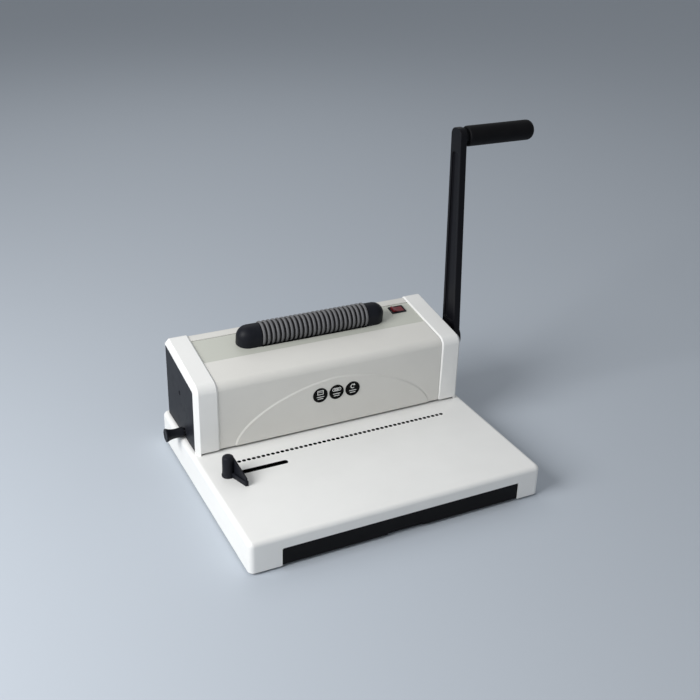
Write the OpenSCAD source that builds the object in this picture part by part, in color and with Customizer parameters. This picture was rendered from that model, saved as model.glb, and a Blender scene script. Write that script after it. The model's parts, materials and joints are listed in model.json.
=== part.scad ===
// Desk machine that punches a row of round holes with a pull lever and feeds a plastic coil with a roller.
// Millimetres. X runs along the row of holes, Y from the front edge to the back, Z up from the desk.

/* [Punched row] */
// Number of holes in the row
hole_count = 46; // [30:1:50]
// Distance from one hole to the next
hole_pitch = 6.25; // [6.2:0.05:8.5]
// Diameter of a punch pin
pin_d = 4; // [3:0.1:4.2]
// Sheet beyond the last hole at each end
sheet_end = 7.9; // [6:0.1:12]
// Margin from the hole centres to the paper stop
sheet_margin = 4.5; // [4:0.1:6]

/* [Base] */
// Depth of the table in front of the body
table_d = 185; // [170:1:220]
// Base showing behind the body
base_rear = 9.5; // [8:0.5:20]
// Base showing at each side of the body
base_side = 5.5; // [4:0.5:15]
// Thickness of the base cover's walls
base_wall = 2.5; // [2:0.1:3.5]
// Thickness of the table top
table_t = 3; // [2.5:0.1:5]
// Radius of the base's upright corners
base_corner_r = 7; // [6.5:0.5:20]
// Radius of the table's outer edges
base_edge_r = 5.5; // [4:0.5:6]
// Height of the rubber feet
foot_h = 3; // [2.5:0.1:8]
// Radius of a rubber foot
foot_r = 12; // [8:0.5:14]
// Thickness of the steel bottom plate
plate_t = 1.5; // [1:0.1:3]

/* [Chip drawer] */
// Height of the drawer opening
drawer_h = 23; // [18:1:40]
// Distance of the drawer to the right of the base's middle
drawer_shift = 4; // [0:0.5:5]
// Thickness of the drawer's walls and floor
drawer_wall = 2; // [1.5:0.1:3]
// Thickness of the drawer's front plate
drawer_front_t = 3.4; // [2.5:0.1:5]
// Height that the chips fall from the die to the drawer
chip_drop = 8; // [6:1:20]

/* [Punch unit] */
// Thickness of the die plate
die_t = 8; // [6:0.5:12]
// Height of the paper throat
throat_h = 3; // [2.6:0.1:4]
// Thickness of the pin guide plate
guide_t = 12; // [10:0.5:16]
// Length of the return springs at rest
spring_l = 15; // [13:0.5:25]
// Thickness of the punch bar
bar_t = 16; // [12:0.5:22]
// Thickness of the plate that presses the pins
press_t = 5; // [4:0.5:8]
// Stroke of the punch bar
stroke = 8; // [6:0.5:10]
// Distance of the pins behind the body's front
pin_depth = 34; // [30:1:40]
// Height of the drive shaft's axis above the press plate
cam_rest_r = 19; // [17:0.5:24]
// Thickness of the steel side frames
frame_t = 5; // [4:0.5:8]
// Diameter of the drive shaft
shaft_d = 16; // [12:0.5:18]

/* [Body] */
// Depth of the body
body_d = 115.5; // [112:0.5:140]
// Height of the body's front edge above the drive shaft
head_room = 22; // [21:0.5:40]
// Rise of the body's top from front to back
body_rise = 17.5; // [8:0.5:20]
// Thickness of the body's shells
body_wall = 2.5; // [2:0.1:3]
// Width of each end cap
cap_w = 27; // [25:0.5:40]
// Height of the end caps above the cover between them
cap_proud = 1.6; // [1:0.1:2.2]
// Radius of the body's front top edge
front_edge_r = 12; // [8:0.5:18]
// Radius of the body's rear top edge
rear_edge_r = 6; // [5.5:0.5:10]
// Width of the end cap's rim round its side panel
rim_w = 9; // [7:0.5:14]
// Half the width of the raised arch on the front
arch_w = 137.5; // [80:0.5:140]
// Height of the raised arch on the front
arch_h = 67.5; // [40:0.5:72]
// Diameter of the round badges
badge_d = 20; // [12:0.5:22]
// Depth of the top panel, front to back
panel_d = 49.3; // [44:0.1:54]
// Depth of the top panel's face below the cover
panel_recess = 0.8; // [0.4:0.1:1.5]
// Thickness of the top panel
panel_t = 2; // [1.5:0.1:3]

/* [Coil roller] */
// Length of the ribbed roller
roller_len = 147; // [110:1:150]
// Radius over the roller's rings
ring_r = 16; // [14.5:0.1:17]
// Height of the rings above the roller's sleeve
ring_rise = 1.8; // [1.2:0.1:4]
// Number of rubber rings
ring_count = 24; // [15:1:26]
// Width of a rubber ring
ring_w = 3.3; // [2:0.1:4.5]
// Height of the roller's axis above the top panel
roller_rise = 10; // [9:0.1:12]
// Length of each end block
block_len = 28; // [26:0.5:30]
// Radius of the end blocks
block_r = 14; // [12.2:0.1:14.6]

/* [Lever] */
// Gap between the body and the lever arm
arm_gap = 9.5; // [8:0.5:16]
// Thickness of the lever arm
arm_t = 9; // [7:0.5:14]
// Distance from the drive shaft to the grip
lever_len = 269.5; // [220:0.5:300]
// Depth of the arm at the drive shaft
arm_root_d = 31; // [26:0.5:34]
// Depth of the arm at the grip
arm_tip_d = 23.4; // [20:0.2:26]
// Backward lean of the lever at rest
lever_lean = 3.5; // [0:0.5:8]
// Swing of the lever in degrees
lever_swing = 85; // [70:1:90]
// Length of the grip
grip_len = 99; // [80:1:120]
// Diameter of the grip
grip_d = 26; // [22:0.5:32]

/* [Margin knob] */
// Reach of the knob from the body's side
knob_reach = 24; // [20:0.5:34]
// Diameter of the knob's end
knob_d = 17; // [14:0.5:20]
// Offset of the eccentrics that shift the paper stop
margin_throw = 1.5; // [1:0.1:1.6]

/* [Edge guide] */
// Diameter of the guide's post
post_d = 13.6; // [11:0.2:15]
// Height of the guide's post
post_h = 27; // [20:0.5:34]
// Length of the fence in front of the post
fence_len = 30; // [20:0.5:40]
// Height of the fence's front end
fence_h = 7.3; // [5:0.1:12]
// Travel of the guide along its slot
guide_travel = 65; // [40:1:80]

/* [Clearances] */
// Radial clearance of a turning or sliding fit
running_clear = 0.05; // [0.02:0.01:0.1]
// Radial clearance of a pressed or screwed fit
fit_clear = 0.02; // [0.01:0.01:0.05]
// Clearance between sliding faces
slide_clear = 0.3; // [0.2:0.05:0.5]

/* [Hidden] */

$fn = 64;
// Steps in each rounded corner of an outline
arc_n = 12;
// How far a cutting shape runs past a face
cut = 1;
// How deep two joined shapes of one piece run into each other
weld = 0.5;

// Widths, worked out from the punched row
row_len = (hole_count - 1) * hole_pitch;
guide_post_r = 4;
post_set = 8.875;
post_x = row_len / 2 + post_set;
frame_set = 8.5;
frame_in_x = post_x + frame_set;
frame_out_x = frame_in_x + frame_t;
seam_lap = 2;
seam_x = frame_in_x - seam_lap;
body_x = seam_x + cap_w;
base_x = body_x + base_side;
drawer_side = 4;
drawer_x = frame_in_x - drawer_side;

// Depths
base_d = table_d + body_d + base_rear;
base_y = base_d / 2;
body_front_y = table_d - base_y;
body_rear_y = body_front_y + body_d;
pin_y = body_front_y + pin_depth;
pivot_set = 15.5;
pivot_y = pin_y + pivot_set;
well_front_y = body_front_y + 8;
well_rear_y = body_rear_y - 7.5;
well_x = frame_out_x + 6;
frame_front_y = well_front_y + 6;
frame_rear_y = well_rear_y - 4;
frame_room = 8;
frame_corner_r = 10;

// Heights
plate_top_z = foot_h + plate_t;
drawer_top_z = foot_h + drawer_h;
table_z = drawer_top_z + chip_drop + die_t;
die_z = table_z - die_t;
throat_z = table_z + throat_h;
guide_top_z = throat_z + guide_t;
bar_z = guide_top_z + spring_l;
bar_top_z = bar_z + bar_t;
press_top_z = bar_top_z + press_t;
pivot_z = press_top_z + cam_rest_r;
body_front_z = pivot_z + head_room;
slope = atan(body_rise / body_d);

// Fasteners
bolt_r = 2.5;
bolt_head_r = 4.2;
bolt_head_h = 4;
low_head_h = 1.8;
screw_r = 1.5;
screw_head_r = 3;
screw_head_h = 2;
hex_fn = 6;
socket_r = 1.6;
socket_depth = 1.2;

// Base bosses and feet
boss_r = 4.5;
boss_side = 12;
boss_x = base_x - base_wall - boss_side;
boss_front_set = 45;
boss_mid_set = 35;
boss_front_y = -base_y + boss_front_set;
boss_mid_y = body_front_y - boss_mid_set;
boss_rear_y = base_y - base_wall - boss_r - 2;
boss_places = [for (y = [boss_front_y, boss_mid_y, boss_rear_y]) [boss_x, y]];
boss_screw_l = 10;
foot_side = 16;
foot_x = base_x - base_wall - foot_side;
foot_front_set = 17;
foot_rear_set = 27;
foot_front_y = -base_y + foot_front_set;
foot_rear_y = base_y - foot_rear_set;
foot_stem_r = 4;
foot_head_r = 5.2;
foot_head_h = 1.5;
foot_places = [for (y = [foot_front_y, foot_rear_y]) [foot_x, y]];
flange_w = 13;
flange_t = 4;
flange_set = 6;
flange_rear_set = 22;
flange_l = frame_rear_y - frame_front_y - flange_set - flange_rear_set;
flange_bolt_set = 10;
flange_y = [frame_front_y + flange_set, frame_front_y + flange_set + flange_l];
foot_bolt_x = frame_out_x + flange_w / 2;
foot_bolt_ys = [flange_y[0] + flange_bolt_set, flange_y[1] - flange_bolt_set];

// Chip drawer
opening_r = 4;
front_gap = 0.5;
tray_x = drawer_x - 7;
rail_t = 1.6;
rail_ledge_t = 1.5;
rail_h = 12;
tray_z = plate_top_z + rail_ledge_t + slide_clear;
tray_top_z = drawer_top_z - front_gap;
drawer_recess = 0.8;
drawer_front_y = -base_y + drawer_recess;
tray_front_y = drawer_front_y + drawer_front_t;
tray_past_pins = 30;
tray_rear_y = pin_y + tray_past_pins;
plate_front_y = tray_front_y + weld;
pull_w = 46;
pull_h = 5;
pull_r = 4;
rail_ledge = 6;

// Gauge holes and slot in the table
gauge_set = 29;
gauge_y = body_front_y - gauge_set;
slot_set = 51.5;
slot_y = body_front_y - slot_set;
slot_w = 6.4;
fence_x = -(row_len / 2 + sheet_end);
guide_post_set = 14;
guide_x = fence_x - guide_post_set;
stem_l = 10;
stem_w = slot_w - 2 * slide_clear;
clamp = [20, 14];
clamp_t = 2.5;
guide_screw_l = 11;
post_foot = 1.4;
post_round = 3;
post_foot_h = 2;
post_neck_h = 4;
post_foot_round = 0.8;
fence_tip_w = 4;
tip_round = 1;
web_tip_w = 3;
web_set = 2;
slot_end = 2;
slot_x = [guide_x - stem_l / 2 - slot_end, guide_x + guide_travel + stem_l / 2 + slot_end];

// Punch unit
pin_bore_r = pin_d / 2 + running_clear;
pin_head_r = pin_d / 2 + 0.9;
pin_head_h = 2;
pin_tip_z = throat_z + weld;
guide_front = 12;
guide_rear = 8.5;
guide_y = [pin_y - guide_front, pin_y + guide_rear];
die_rear = 28;
die_y = [well_front_y + slide_clear, pin_y + die_rear];
bar_front = 10;
bar_rear = 22;
bar_y = [pin_y - bar_front, pin_y + bar_rear];
bar_side = 2;
bar_x = frame_in_x - bar_side;
post_top_z = press_top_z + 7;
spring_in_r = guide_post_r + 0.4;
spring_wire = 1.8;
groove_w = 2 * pin_head_r + 0.6;
press_screw_set = 14;
press_screw_y = pin_y + press_screw_set;
press_screw_xs = [45, 90];
tie_set = 2;
tie_d = 10;
tie_h = 12;
tie_drop = 20;
tie_y = [frame_rear_y - tie_set - tie_d, frame_rear_y - tie_set];
tie_z = [pivot_z - tie_drop - tie_h, pivot_z - tie_drop];
tie_mid = [(tie_y[0] + tie_y[1]) / 2, (tie_z[0] + tie_z[1]) / 2];
bolt_reach = 9;
die_bolt_front = 9;
die_bolt_rear = 18;
guide_bolt_set = 4;
end_bolts = [
    [die_y[0] + die_bolt_front, die_z + die_t / 2],
    [pin_y + die_bolt_rear, die_z + die_t / 2],
    [guide_y[0] + guide_bolt_set, throat_z + guide_t / 2],
    tie_mid,
];

// Drive shaft and cams
shaft_r = shaft_d / 2;
bush_r = shaft_r + 3;
bush_flange_r = bush_r + 2.5;
bush_flange_t = 2.5;
collar_r = shaft_r + 5;
collar_w = 6;
cam_set = 36;
cam_x = seam_x - cam_set;
cam_w = 14;
cam_clear = 0.4;
cam_hub_r = shaft_r + 5;
cam_rate = stroke / (lever_swing * PI / 180);
cam_lead = 10;
cam_steps = 24;
square_w = shaft_r * sqrt(2) - 0.1;
hub_in_x = body_x + 2.5;
arm_x = body_x + arm_gap;
hub_out_x = arm_x + arm_t + 2;
hub_r = shaft_r + 9;
arm_end_r = 9;
arm_above_grip = 12;
channel_rim = 4.5;
channel_depth = 2.5;
channel_end_r = 5;
channel_start = 12;
channel_stop = 8;
washer_r = shaft_r + 1;
washer_t = 1.5;
lever_bolt_l = 16;
rod_r = 6;
rod_collar_r = 9;
grip_gap = 5.5;
grip_x = arm_x + arm_t + grip_gap;
grip_end_x = grip_x + grip_len;
grip_r = grip_d / 2;
grip_dome = 8;
grip_chamfer = 1.5;
grip_cap = 5;

// Margin adjustment
margin_set = 17;
margin_rise = 7.5;
margin_y = pin_y + margin_set;
margin_z = table_z + margin_rise;
margin_shaft_r = 3;
ecc_r = margin_shaft_r + margin_throw + 0.1;
ecc_w = 4;
ecc_x = post_x + 1.5;
strip_t = throat_h - 2 * slide_clear;
strip_z = table_z + slide_clear;
strip_rear_y = margin_y + 11;
ear_wall = 2;
ear_half = ecc_r + slide_clear + ear_wall;
ear_top_z = margin_z + ecc_r + margin_throw + 1.5;
knob_tip_x = -(body_x + knob_reach);
knob_neck_r = 4.6;
knob_collar_r = 6.5;
knob_collar_w = 4;
knob_rim_w = 2.4;
knob_start_x = -(body_x + 1);
knob_grip = 12;

// Shell of the body
rear_flange = 10;
flange_z = body_front_z + body_rise - rear_flange;
rear_t = body_wall;
cap_tab_t = 3;
cap_tab_r = 6;
cap_tab_low = 40;
cap_tab_high = 6;
cap_tab_set = 16;
cap_tabs = [
    [frame_front_y + cap_tab_r, pivot_z - cap_tab_low],
    [frame_rear_y - cap_tab_set, pivot_z - cap_tab_high],
];
side_gap = 0.25;
side_set = 0.6;
side_flange = 3;
side_flange_t = 2;
panel_corner_r = 3;
shaft_hole_r = shaft_r + 2;
knob_hole_r = margin_shaft_r + 2;
side_screw_set = 63.5;
side_screw_drop = 14;
side_screw = [body_front_y + side_screw_set, pivot_z - side_screw_drop];
relief = 1;
arch_x = 2.5;
arch_power = 1.75;
arch_steps = 48;
badge_t = 0.8;
badge_pitch = badge_d + 2.4;
badge_x = 1.8;
badge_rise = 49;
badge_z = table_z + badge_rise;
rear_boss_r = 5;
rear_boss_x = row_len * 0.36;
rear_screw_l = 6;
vent_count = 9;
vent_pitch = 8;
vent_w = 3.5;
vent_h = 32;
vent_x = 30;
vent_rise = 22;
vent_z = table_z + vent_rise;

// Top panel, in the slanted axes of the body's top
panel_front = 50.4;
panel_v = [panel_front, panel_front + panel_d];
panel_w = -(cap_proud + panel_recess);
seat_w = panel_w - panel_t;
seat_t = 2;
seat_margin = 4;
panel_x = seam_x - 0.5;
roller_set = 26.6;
roller_v = panel_front + roller_set;
roller_x = 1.5;
block_gap = 0.6;
block_in = roller_len / 2 + block_gap;
block_out = block_in + block_len;
roller_shaft_r = 4;
skirt_h = 2;
skirt_w = 0.7;
roller_slot_x = roller_len / 2 + 1;
roller_slot_v = sqrt(pow(ring_r, 2) - pow(roller_rise - panel_t, 2)) + 1;
window_v = roller_slot_v + 2;
sleeve_r = ring_r - ring_rise;
ring_pitch = (roller_len - ring_w) / (ring_count - 1);
ring_edge_r = 1.2;
block_screw_l = 4;
left_screws = [6, 18];
right_screws = [3.5, block_len - 6];
block_screw_xs = concat([for (x = left_screws) -block_in - x], [for (x = right_screws) block_in + x]);
left_bore = block_len - 8;
right_bore = block_len - 6;

// Belt drive of the roller
belt_w = 5;
belt_t = 1.2;
belt_gap = 0.3;
pulley_r = 7.8;
belt_r = pulley_r + belt_gap;
belt_out_r = belt_r + belt_t;
pulley_flange_r = belt_out_r + 0.3;
pulley_flange_t = 1.2;
pulley_half = belt_w / 2 + belt_gap + pulley_flange_t;
belt_in = block_in + 12;
belt_x = roller_x + belt_in;
belt_cave_r = pulley_flange_r + 0.8;
cave_half = pulley_half + 0.8;
roller_y = body_front_y + roller_v * cos(slope) - (panel_w + roller_rise) * sin(slope);
roller_z = body_front_z + roller_v * sin(slope) + (panel_w + roller_rise) * cos(slope);
motor_r = 16;
motor_l = 58;
motor_gap = 5;
motor_lift = 2;
motor_y = pivot_y + shaft_r + motor_gap + motor_r;
motor_z = tie_z[1] + motor_lift + motor_r;
motor_shaft_r = 3;
motor_face_x = belt_x - pulley_half - 4.5;
bracket_t = 3;
bracket_x = motor_face_x - bracket_t;
motor_boss_r = 6;
motor_screw_zs = [-11, 11];
motor_screw_l = 5;
bracket_lip = 2;
bracket_foot_l = 15;
bracket_screw_x = motor_face_x + bracket_foot_l / 2;
belt_angle = atan2(roller_z - motor_z, roller_y - motor_y);
belt_len = norm([roller_z - motor_z, roller_y - motor_y]);

// Switch
switch_inset = 24;
switch_x = seam_x - switch_inset;
switch_set = 36.4;
switch_v = panel_front + switch_set;
bezel = [21, 15];
bezel_t = 1.6;
housing = [19, 13];
housing_h = 19;
well_size = [17.8, 11.4];
rocker_seat = 2.6;
rocker_h = 3.9;
rocker_dip = 2.6;
rocker_half = 8;
rocker_drop = 5;
rocker_tilt = 10;
rocker_gap = 0.4;
rocker_pin_r = 1;
rocker_pin_l = 0.6;

// Power inlet
inlet_x = -row_len * 0.43;
inlet_rise = 22;
inlet_z = table_z + inlet_rise;
inlet_size = [27, 20];
inlet_flange = [34, 26];
inlet_flange_t = 2;
inlet_depth = 18;
inlet_wall = 2;
blade = [2, 5];
blade_l = 12.5;
blade_gap = 7;
blade_rise = 2;

// Wires
wire_r = 1.6;
clip_r = 2.2;
wire_gap = 5;
wire_run = 10;
wire_drop = 6;
wire_z = tie_z[0] - wire_drop;
lead_gap = 8;
lead_z = wire_z + lead_gap;
lead_set = 6;
lead_y = tie_y[0] - lead_set;
bend_rise = 12;
bend_z = tie_z[1] + bend_rise;
switch_y = body_front_y + switch_v * cos(slope) - (panel_w - housing_h) * sin(slope);
switch_z = body_front_z + switch_v * sin(slope) + (panel_w - housing_h) * cos(slope);

// Half way between the knob's tip and the grip's end
frame_x = (knob_tip_x + grip_end_x) / 2;

// Outlines with rounded corners
function unit(v) = v / norm(v);
function wrap(a) = a > 180 ? a - 360 : (a < -180 ? a + 360 : a);
function polar(r, a) = r * [cos(a), sin(a)];
function arc(c, r, a, sweep, n) = [for (i = [0 : n]) c + polar(r, a + sweep * i / n)];
function fillet(q, p, s, r) =
    let (u = unit(q - p), v = unit(s - p), half = acos(u * v) / 2)
    let (c = p + unit(u + v) * r / sin(half), t = r / tan(half))
    let (a = p + u * t - c, b = p + v * t - c)
    let (a0 = atan2(a[1], a[0]), sweep = wrap(atan2(b[1], b[0]) - a0))
    arc(c, r, a0, sweep, arc_n);
function corner(points, radii, i, m) =
    radii[i] > 0 ? fillet(points[(i + m - 1) % m], points[i], points[(i + 1) % m], radii[i]) : [points[i]];
function rounded(points, radii) =
    let (m = len(points))
    [for (i = [0 : m - 1]) each corner(points, radii, i, m)];
function top_z(y, d) = body_front_z + (y - body_front_y) * tan(slope) - d / cos(slope);
function body_outline(d, bottom) =
    let (f = body_front_y + d, r = body_rear_y - d)
    let (radii = [0, front_edge_r - d, rear_edge_r - d, 0])
    rounded([[f, bottom], [f, top_z(f, d)], [r, top_z(r, d)], [r, bottom]], radii);
function window_outline(grow, bottom, rear) =
    let (d = rim_w - grow, f = body_front_y + d)
    let (radii = [0, panel_corner_r, 0, 0])
    rounded([[f, bottom], [f, top_z(f, d)], [rear, top_z(rear, d)], [rear, bottom]], radii);
function row_x(i) = (i - (hole_count - 1) / 2) * hole_pitch;

// Placing helpers
module in_frame() {
    translate([-frame_x, 0, 0]) children();
}
module along_x(x) {
    translate([x[0], 0, 0]) rotate([90, 0, 90]) linear_extrude(height = x[1] - x[0]) children();
}
module along_y(y) {
    translate([0, y[1], 0]) rotate([90, 0, 0]) linear_extrude(height = y[1] - y[0]) children();
}
module along_z(z) {
    translate([0, 0, z[0]]) linear_extrude(height = z[1] - z[0]) children();
}
module box(x, y, z) {
    translate([x[0], y[0], z[0]]) cube([x[1] - x[0], y[1] - y[0], z[1] - z[0]]);
}
// Box centred on the Z axis
module block(size, z) {
    box([-size[0] / 2, size[0] / 2], [-size[1] / 2, size[1] / 2], z);
}
module rod_x(x, y, z, r) {
    translate([x[0], y, z]) rotate([0, 90, 0]) cylinder(h = x[1] - x[0], r = r);
}
module rod_y(y, x, z, r) {
    translate([x, y[1], z]) rotate([90, 0, 0]) cylinder(h = y[1] - y[0], r = r);
}
module rod_z(z, x, y, r) {
    translate([x, y, z[0]]) cylinder(h = z[1] - z[0], r = r);
}
module both_sides() {
    children();
    mirror([1, 0, 0]) children();
}
module on_top() {
    translate([0, body_front_y, body_front_z]) rotate([slope, 0, 0]) children();
}
module on_lever() {
    translate([0, pivot_y, pivot_z]) rotate([-lever_lean, 0, 0]) children();
}
module rounded_rect(x, y, r) {
    polygon(rounded([[-x, -y], [x, -y], [x, y], [-x, y]], [r, r, r, r]));
}
module stadium(length, r) {
    circle(r);
    translate([length, 0]) circle(r);
    translate([0, -r]) square([length, 2 * r]);
}
// Screw along Z with its head at the origin, its shank running down
module down_screw(shank_r, shank_l, head_r, head_h) {
    difference() {
        union() {
            translate([0, 0, -shank_l]) cylinder(h = shank_l, r = shank_r);
            cylinder(h = head_h, r = head_r);
        }
        translate([0, 0, head_h - socket_depth]) cylinder(h = socket_depth + cut, r = socket_r, $fn = hex_fn);
    }
}

// Base
module base_form(inset, z) {
    x = base_x - inset;
    y = base_y - inset;
    edge = base_edge_r - inset;
    intersection() {
        along_z(z) rounded_rect(x, y, base_corner_r - inset);
        along_y([-y, y]) polygon(rounded([[-x, z[0]], [-x, z[1]], [x, z[1]], [x, z[0]]], [0, edge, edge, 0]));
        along_x([-x, x]) polygon(rounded([[-y, z[0]], [-y, z[1]], [y, z[1]], [y, z[0]]], [0, edge, edge, 0]));
    }
}
module drawer_opening() {
    z = [foot_h - cut, drawer_top_z];
    translate([drawer_shift, 0, 0]) along_y([-base_y - cut, -base_y + base_wall + cut])
        polygon(rounded([[-drawer_x, z[0]], [-drawer_x, z[1]], [drawer_x, z[1]], [drawer_x, z[0]]],
            [0, opening_r, opening_r, 0]));
}
module guide_slot() {
    z = [table_z - table_t - cut, table_z + cut];
    box(slot_x, [slot_y - slot_w / 2, slot_y + slot_w / 2], z);
    for (x = slot_x) rod_z(z, x, slot_y, slot_w / 2);
}
module base_cover() {
    under_z = table_z - table_t;
    color("whitesmoke") difference() {
        union() {
            difference() {
                base_form(0, [foot_h, table_z]);
                base_form(base_wall, [foot_h - cut, under_z]);
            }
            both_sides() for (p = boss_places) rod_z([plate_top_z, under_z + weld], p[0], p[1], boss_r);
        }
        drawer_opening();
        box([-well_x, well_x], [well_front_y, well_rear_y], [under_z - cut, table_z + cut]);
        for (i = [0 : hole_count - 1]) rod_z([under_z - cut, table_z + cut], row_x(i), gauge_y, pin_d / 2);
        guide_slot();
        both_sides() for (p = boss_places)
            rod_z([plate_top_z - cut, plate_top_z + boss_screw_l], p[0], p[1], screw_r + fit_clear);
    }
}
module base_plate() {
    edge = base_wall + weld;
    r = base_corner_r - base_wall + cut;
    x = base_x - edge;
    rear = base_y - edge;
    z = [foot_h - cut, plate_top_z + cut];
    color("silver") difference() {
        along_z([foot_h, plate_top_z])
            polygon(rounded([[-x, plate_front_y], [x, plate_front_y], [x, rear], [-x, rear]], [r, r, r, r]));
        both_sides() {
            for (p = boss_places) rod_z(z, p[0], p[1], screw_r + slide_clear);
            for (p = foot_places) rod_z(z, p[0], p[1], foot_stem_r + fit_clear);
            for (y = foot_bolt_ys) rod_z(z, foot_bolt_x, y, bolt_r + running_clear);
        }
    }
}
module rubber_feet() {
    color("dimgray") both_sides() for (p = foot_places) {
        rod_z([0, foot_h], p[0], p[1], foot_r);
        rod_z([foot_h - weld, plate_top_z + weld], p[0], p[1], foot_stem_r);
        rod_z([plate_top_z, plate_top_z + foot_head_h], p[0], p[1], foot_head_r);
    }
}
module base_screws() {
    color("gray") both_sides() for (p = boss_places) translate([p[0], p[1], foot_h]) mirror([0, 0, 1])
        down_screw(screw_r, boss_screw_l, screw_head_r, low_head_h);
}

// Chip drawer and its rails
module drawer_rails() {
    wall_x = tray_x + slide_clear;
    y = [plate_front_y, tray_rear_y];
    color("silver") translate([drawer_shift, 0, 0]) both_sides() {
        box([wall_x, wall_x + rail_t], y, [plate_top_z, plate_top_z + rail_h]);
        box([tray_x - rail_ledge, wall_x + weld], y, [plate_top_z, plate_top_z + rail_ledge_t]);
    }
}
module chip_drawer() {
    front_x = drawer_x - front_gap;
    in_x = tray_x - drawer_wall;
    y = [tray_front_y - weld, tray_rear_y];
    z = [foot_h + front_gap, tray_top_z];
    inside_y = [tray_front_y, tray_rear_y - drawer_wall];
    half = pull_w / 2;
    pull_z = [z[0] - cut, z[0] + pull_h];
    color("darkslategray") translate([drawer_shift, 0, 0]) difference() {
        union() {
            along_y([drawer_front_y, tray_front_y])
                polygon(rounded([[-front_x, z[0]], [-front_x, z[1]], [front_x, z[1]], [front_x, z[0]]],
                    [1, opening_r - front_gap, opening_r - front_gap, 1]));
            box([-tray_x, tray_x], y, [tray_z, tray_top_z]);
        }
        box([-in_x, in_x], inside_y, [tray_z + drawer_wall, tray_top_z + cut]);
        along_y([drawer_front_y - cut, drawer_front_y + drawer_front_t / 2])
            polygon(rounded([[-half, pull_z[0]], [-half, pull_z[1]], [half, pull_z[1]], [half, pull_z[0]]],
                [0, pull_r, pull_r, 0]));
    }
}

// Steel frame of the punch unit
module side_frame() {
    z = [plate_top_z, body_front_z - frame_room];
    y = [frame_front_y, frame_rear_y];
    x = [frame_in_x, frame_out_x];
    outline = [[y[0], z[0]], [y[0], z[1]], [y[1], z[1]], [y[1], z[0]]];
    past = [frame_in_x - cut, frame_out_x + cut];
    color("lightslategray") difference() {
        union() {
            along_x(x) polygon(rounded(outline, [0, frame_corner_r, frame_corner_r, 0]));
            box([frame_in_x, frame_out_x + flange_w], flange_y, [plate_top_z, plate_top_z + flange_t]);
        }
        rod_x(past, pivot_y, pivot_z, bush_r + fit_clear);
        rod_x(past, margin_y, margin_z, margin_shaft_r + running_clear);
        for (p = end_bolts) rod_x(past, p[0], p[1], bolt_r + running_clear);
        for (p = cap_tabs) rod_x(past, p[0], p[1], screw_r + running_clear);
        for (y = foot_bolt_ys)
            rod_z([plate_top_z - cut, plate_top_z + flange_t + cut], foot_bolt_x, y, bolt_r + fit_clear);
    }
}
module left_frame() {
    mirror([1, 0, 0]) side_frame();
}
module right_frame() {
    side_frame();
}
module frame_foot_bolts() {
    length = plate_t + flange_t;
    color("gray") both_sides() for (y = foot_bolt_ys) translate([foot_bolt_x, y, foot_h]) mirror([0, 0, 1])
        down_screw(bolt_r, length, bolt_head_r, low_head_h);
}
module end_bolt_holes(places) {
    both_sides() for (p = places)
        rod_x([frame_in_x - bolt_reach - slide_clear, frame_in_x + cut], p[0], p[1], bolt_r + fit_clear);
}
module pin_bores(z, r) {
    for (i = [0 : hole_count - 1]) rod_z([z[0] - cut, z[1] + cut], row_x(i), pin_y, r);
}
module die_plate() {
    z = [die_z, table_z];
    color("slategray") difference() {
        box([-frame_in_x, frame_in_x], die_y, z);
        pin_bores(z, pin_bore_r);
        end_bolt_holes([end_bolts[0], end_bolts[1]]);
    }
}
module guide_plate() {
    z = [throat_z, guide_top_z];
    color("slategray") difference() {
        box([-frame_in_x, frame_in_x], guide_y, z);
        pin_bores(z, pin_bore_r);
        both_sides() rod_z([z[0] - cut, z[1] + cut], post_x, pin_y, guide_post_r + fit_clear);
        end_bolt_holes([end_bolts[2]]);
    }
}
module tie_bar() {
    hole_r = screw_r + fit_clear;
    depth = rear_screw_l + slide_clear;
    color("slategray") difference() {
        box([-frame_in_x, frame_in_x], tie_y, tie_z);
        end_bolt_holes([end_bolts[3]]);
        both_sides() rod_y([tie_y[1] - depth, tie_y[1] + cut], rear_boss_x, tie_mid[1], hole_r);
        rod_z([tie_z[1] - depth, tie_z[1] + cut], bracket_screw_x, tie_mid[0], hole_r);
    }
}
module frame_bolts() {
    color("gray") both_sides() for (p = end_bolts) translate([frame_out_x, p[0], p[1]]) rotate([0, 90, 0])
        down_screw(bolt_r, frame_t + bolt_reach, bolt_head_r, bolt_head_h);
}
module guide_posts() {
    color("gainsboro") both_sides() rod_z([throat_z, post_top_z], post_x, pin_y, guide_post_r);
}
module return_springs() {
    color("gray") both_sides() difference() {
        rod_z([guide_top_z, bar_z], post_x, pin_y, spring_in_r + spring_wire);
        rod_z([guide_top_z - cut, bar_z + cut], post_x, pin_y, spring_in_r);
    }
}
module shaft_bushes() {
    inner = frame_in_x - bush_flange_t;
    color("peru") both_sides() difference() {
        union() {
            rod_x([frame_in_x - weld, frame_out_x], pivot_y, pivot_z, bush_r);
            rod_x([inner, frame_in_x], pivot_y, pivot_z, bush_flange_r);
        }
        rod_x([inner - cut, frame_out_x + cut], pivot_y, pivot_z, shaft_r + running_clear);
    }
}

// Lever and drive shaft
module drive_shaft() {
    square_x = [hub_in_x - weld, hub_out_x - slide_clear];
    square_span = [-square_w / 2, square_w / 2];
    color("gainsboro") difference() {
        union() {
            rod_x([-frame_out_x - cut, hub_in_x], pivot_y, pivot_z, shaft_r);
            on_lever() box(square_x, square_span, square_span);
        }
        rod_x([hub_out_x - lever_bolt_l - cut, hub_out_x + cut], pivot_y, pivot_z, bolt_r + fit_clear);
    }
}
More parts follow.
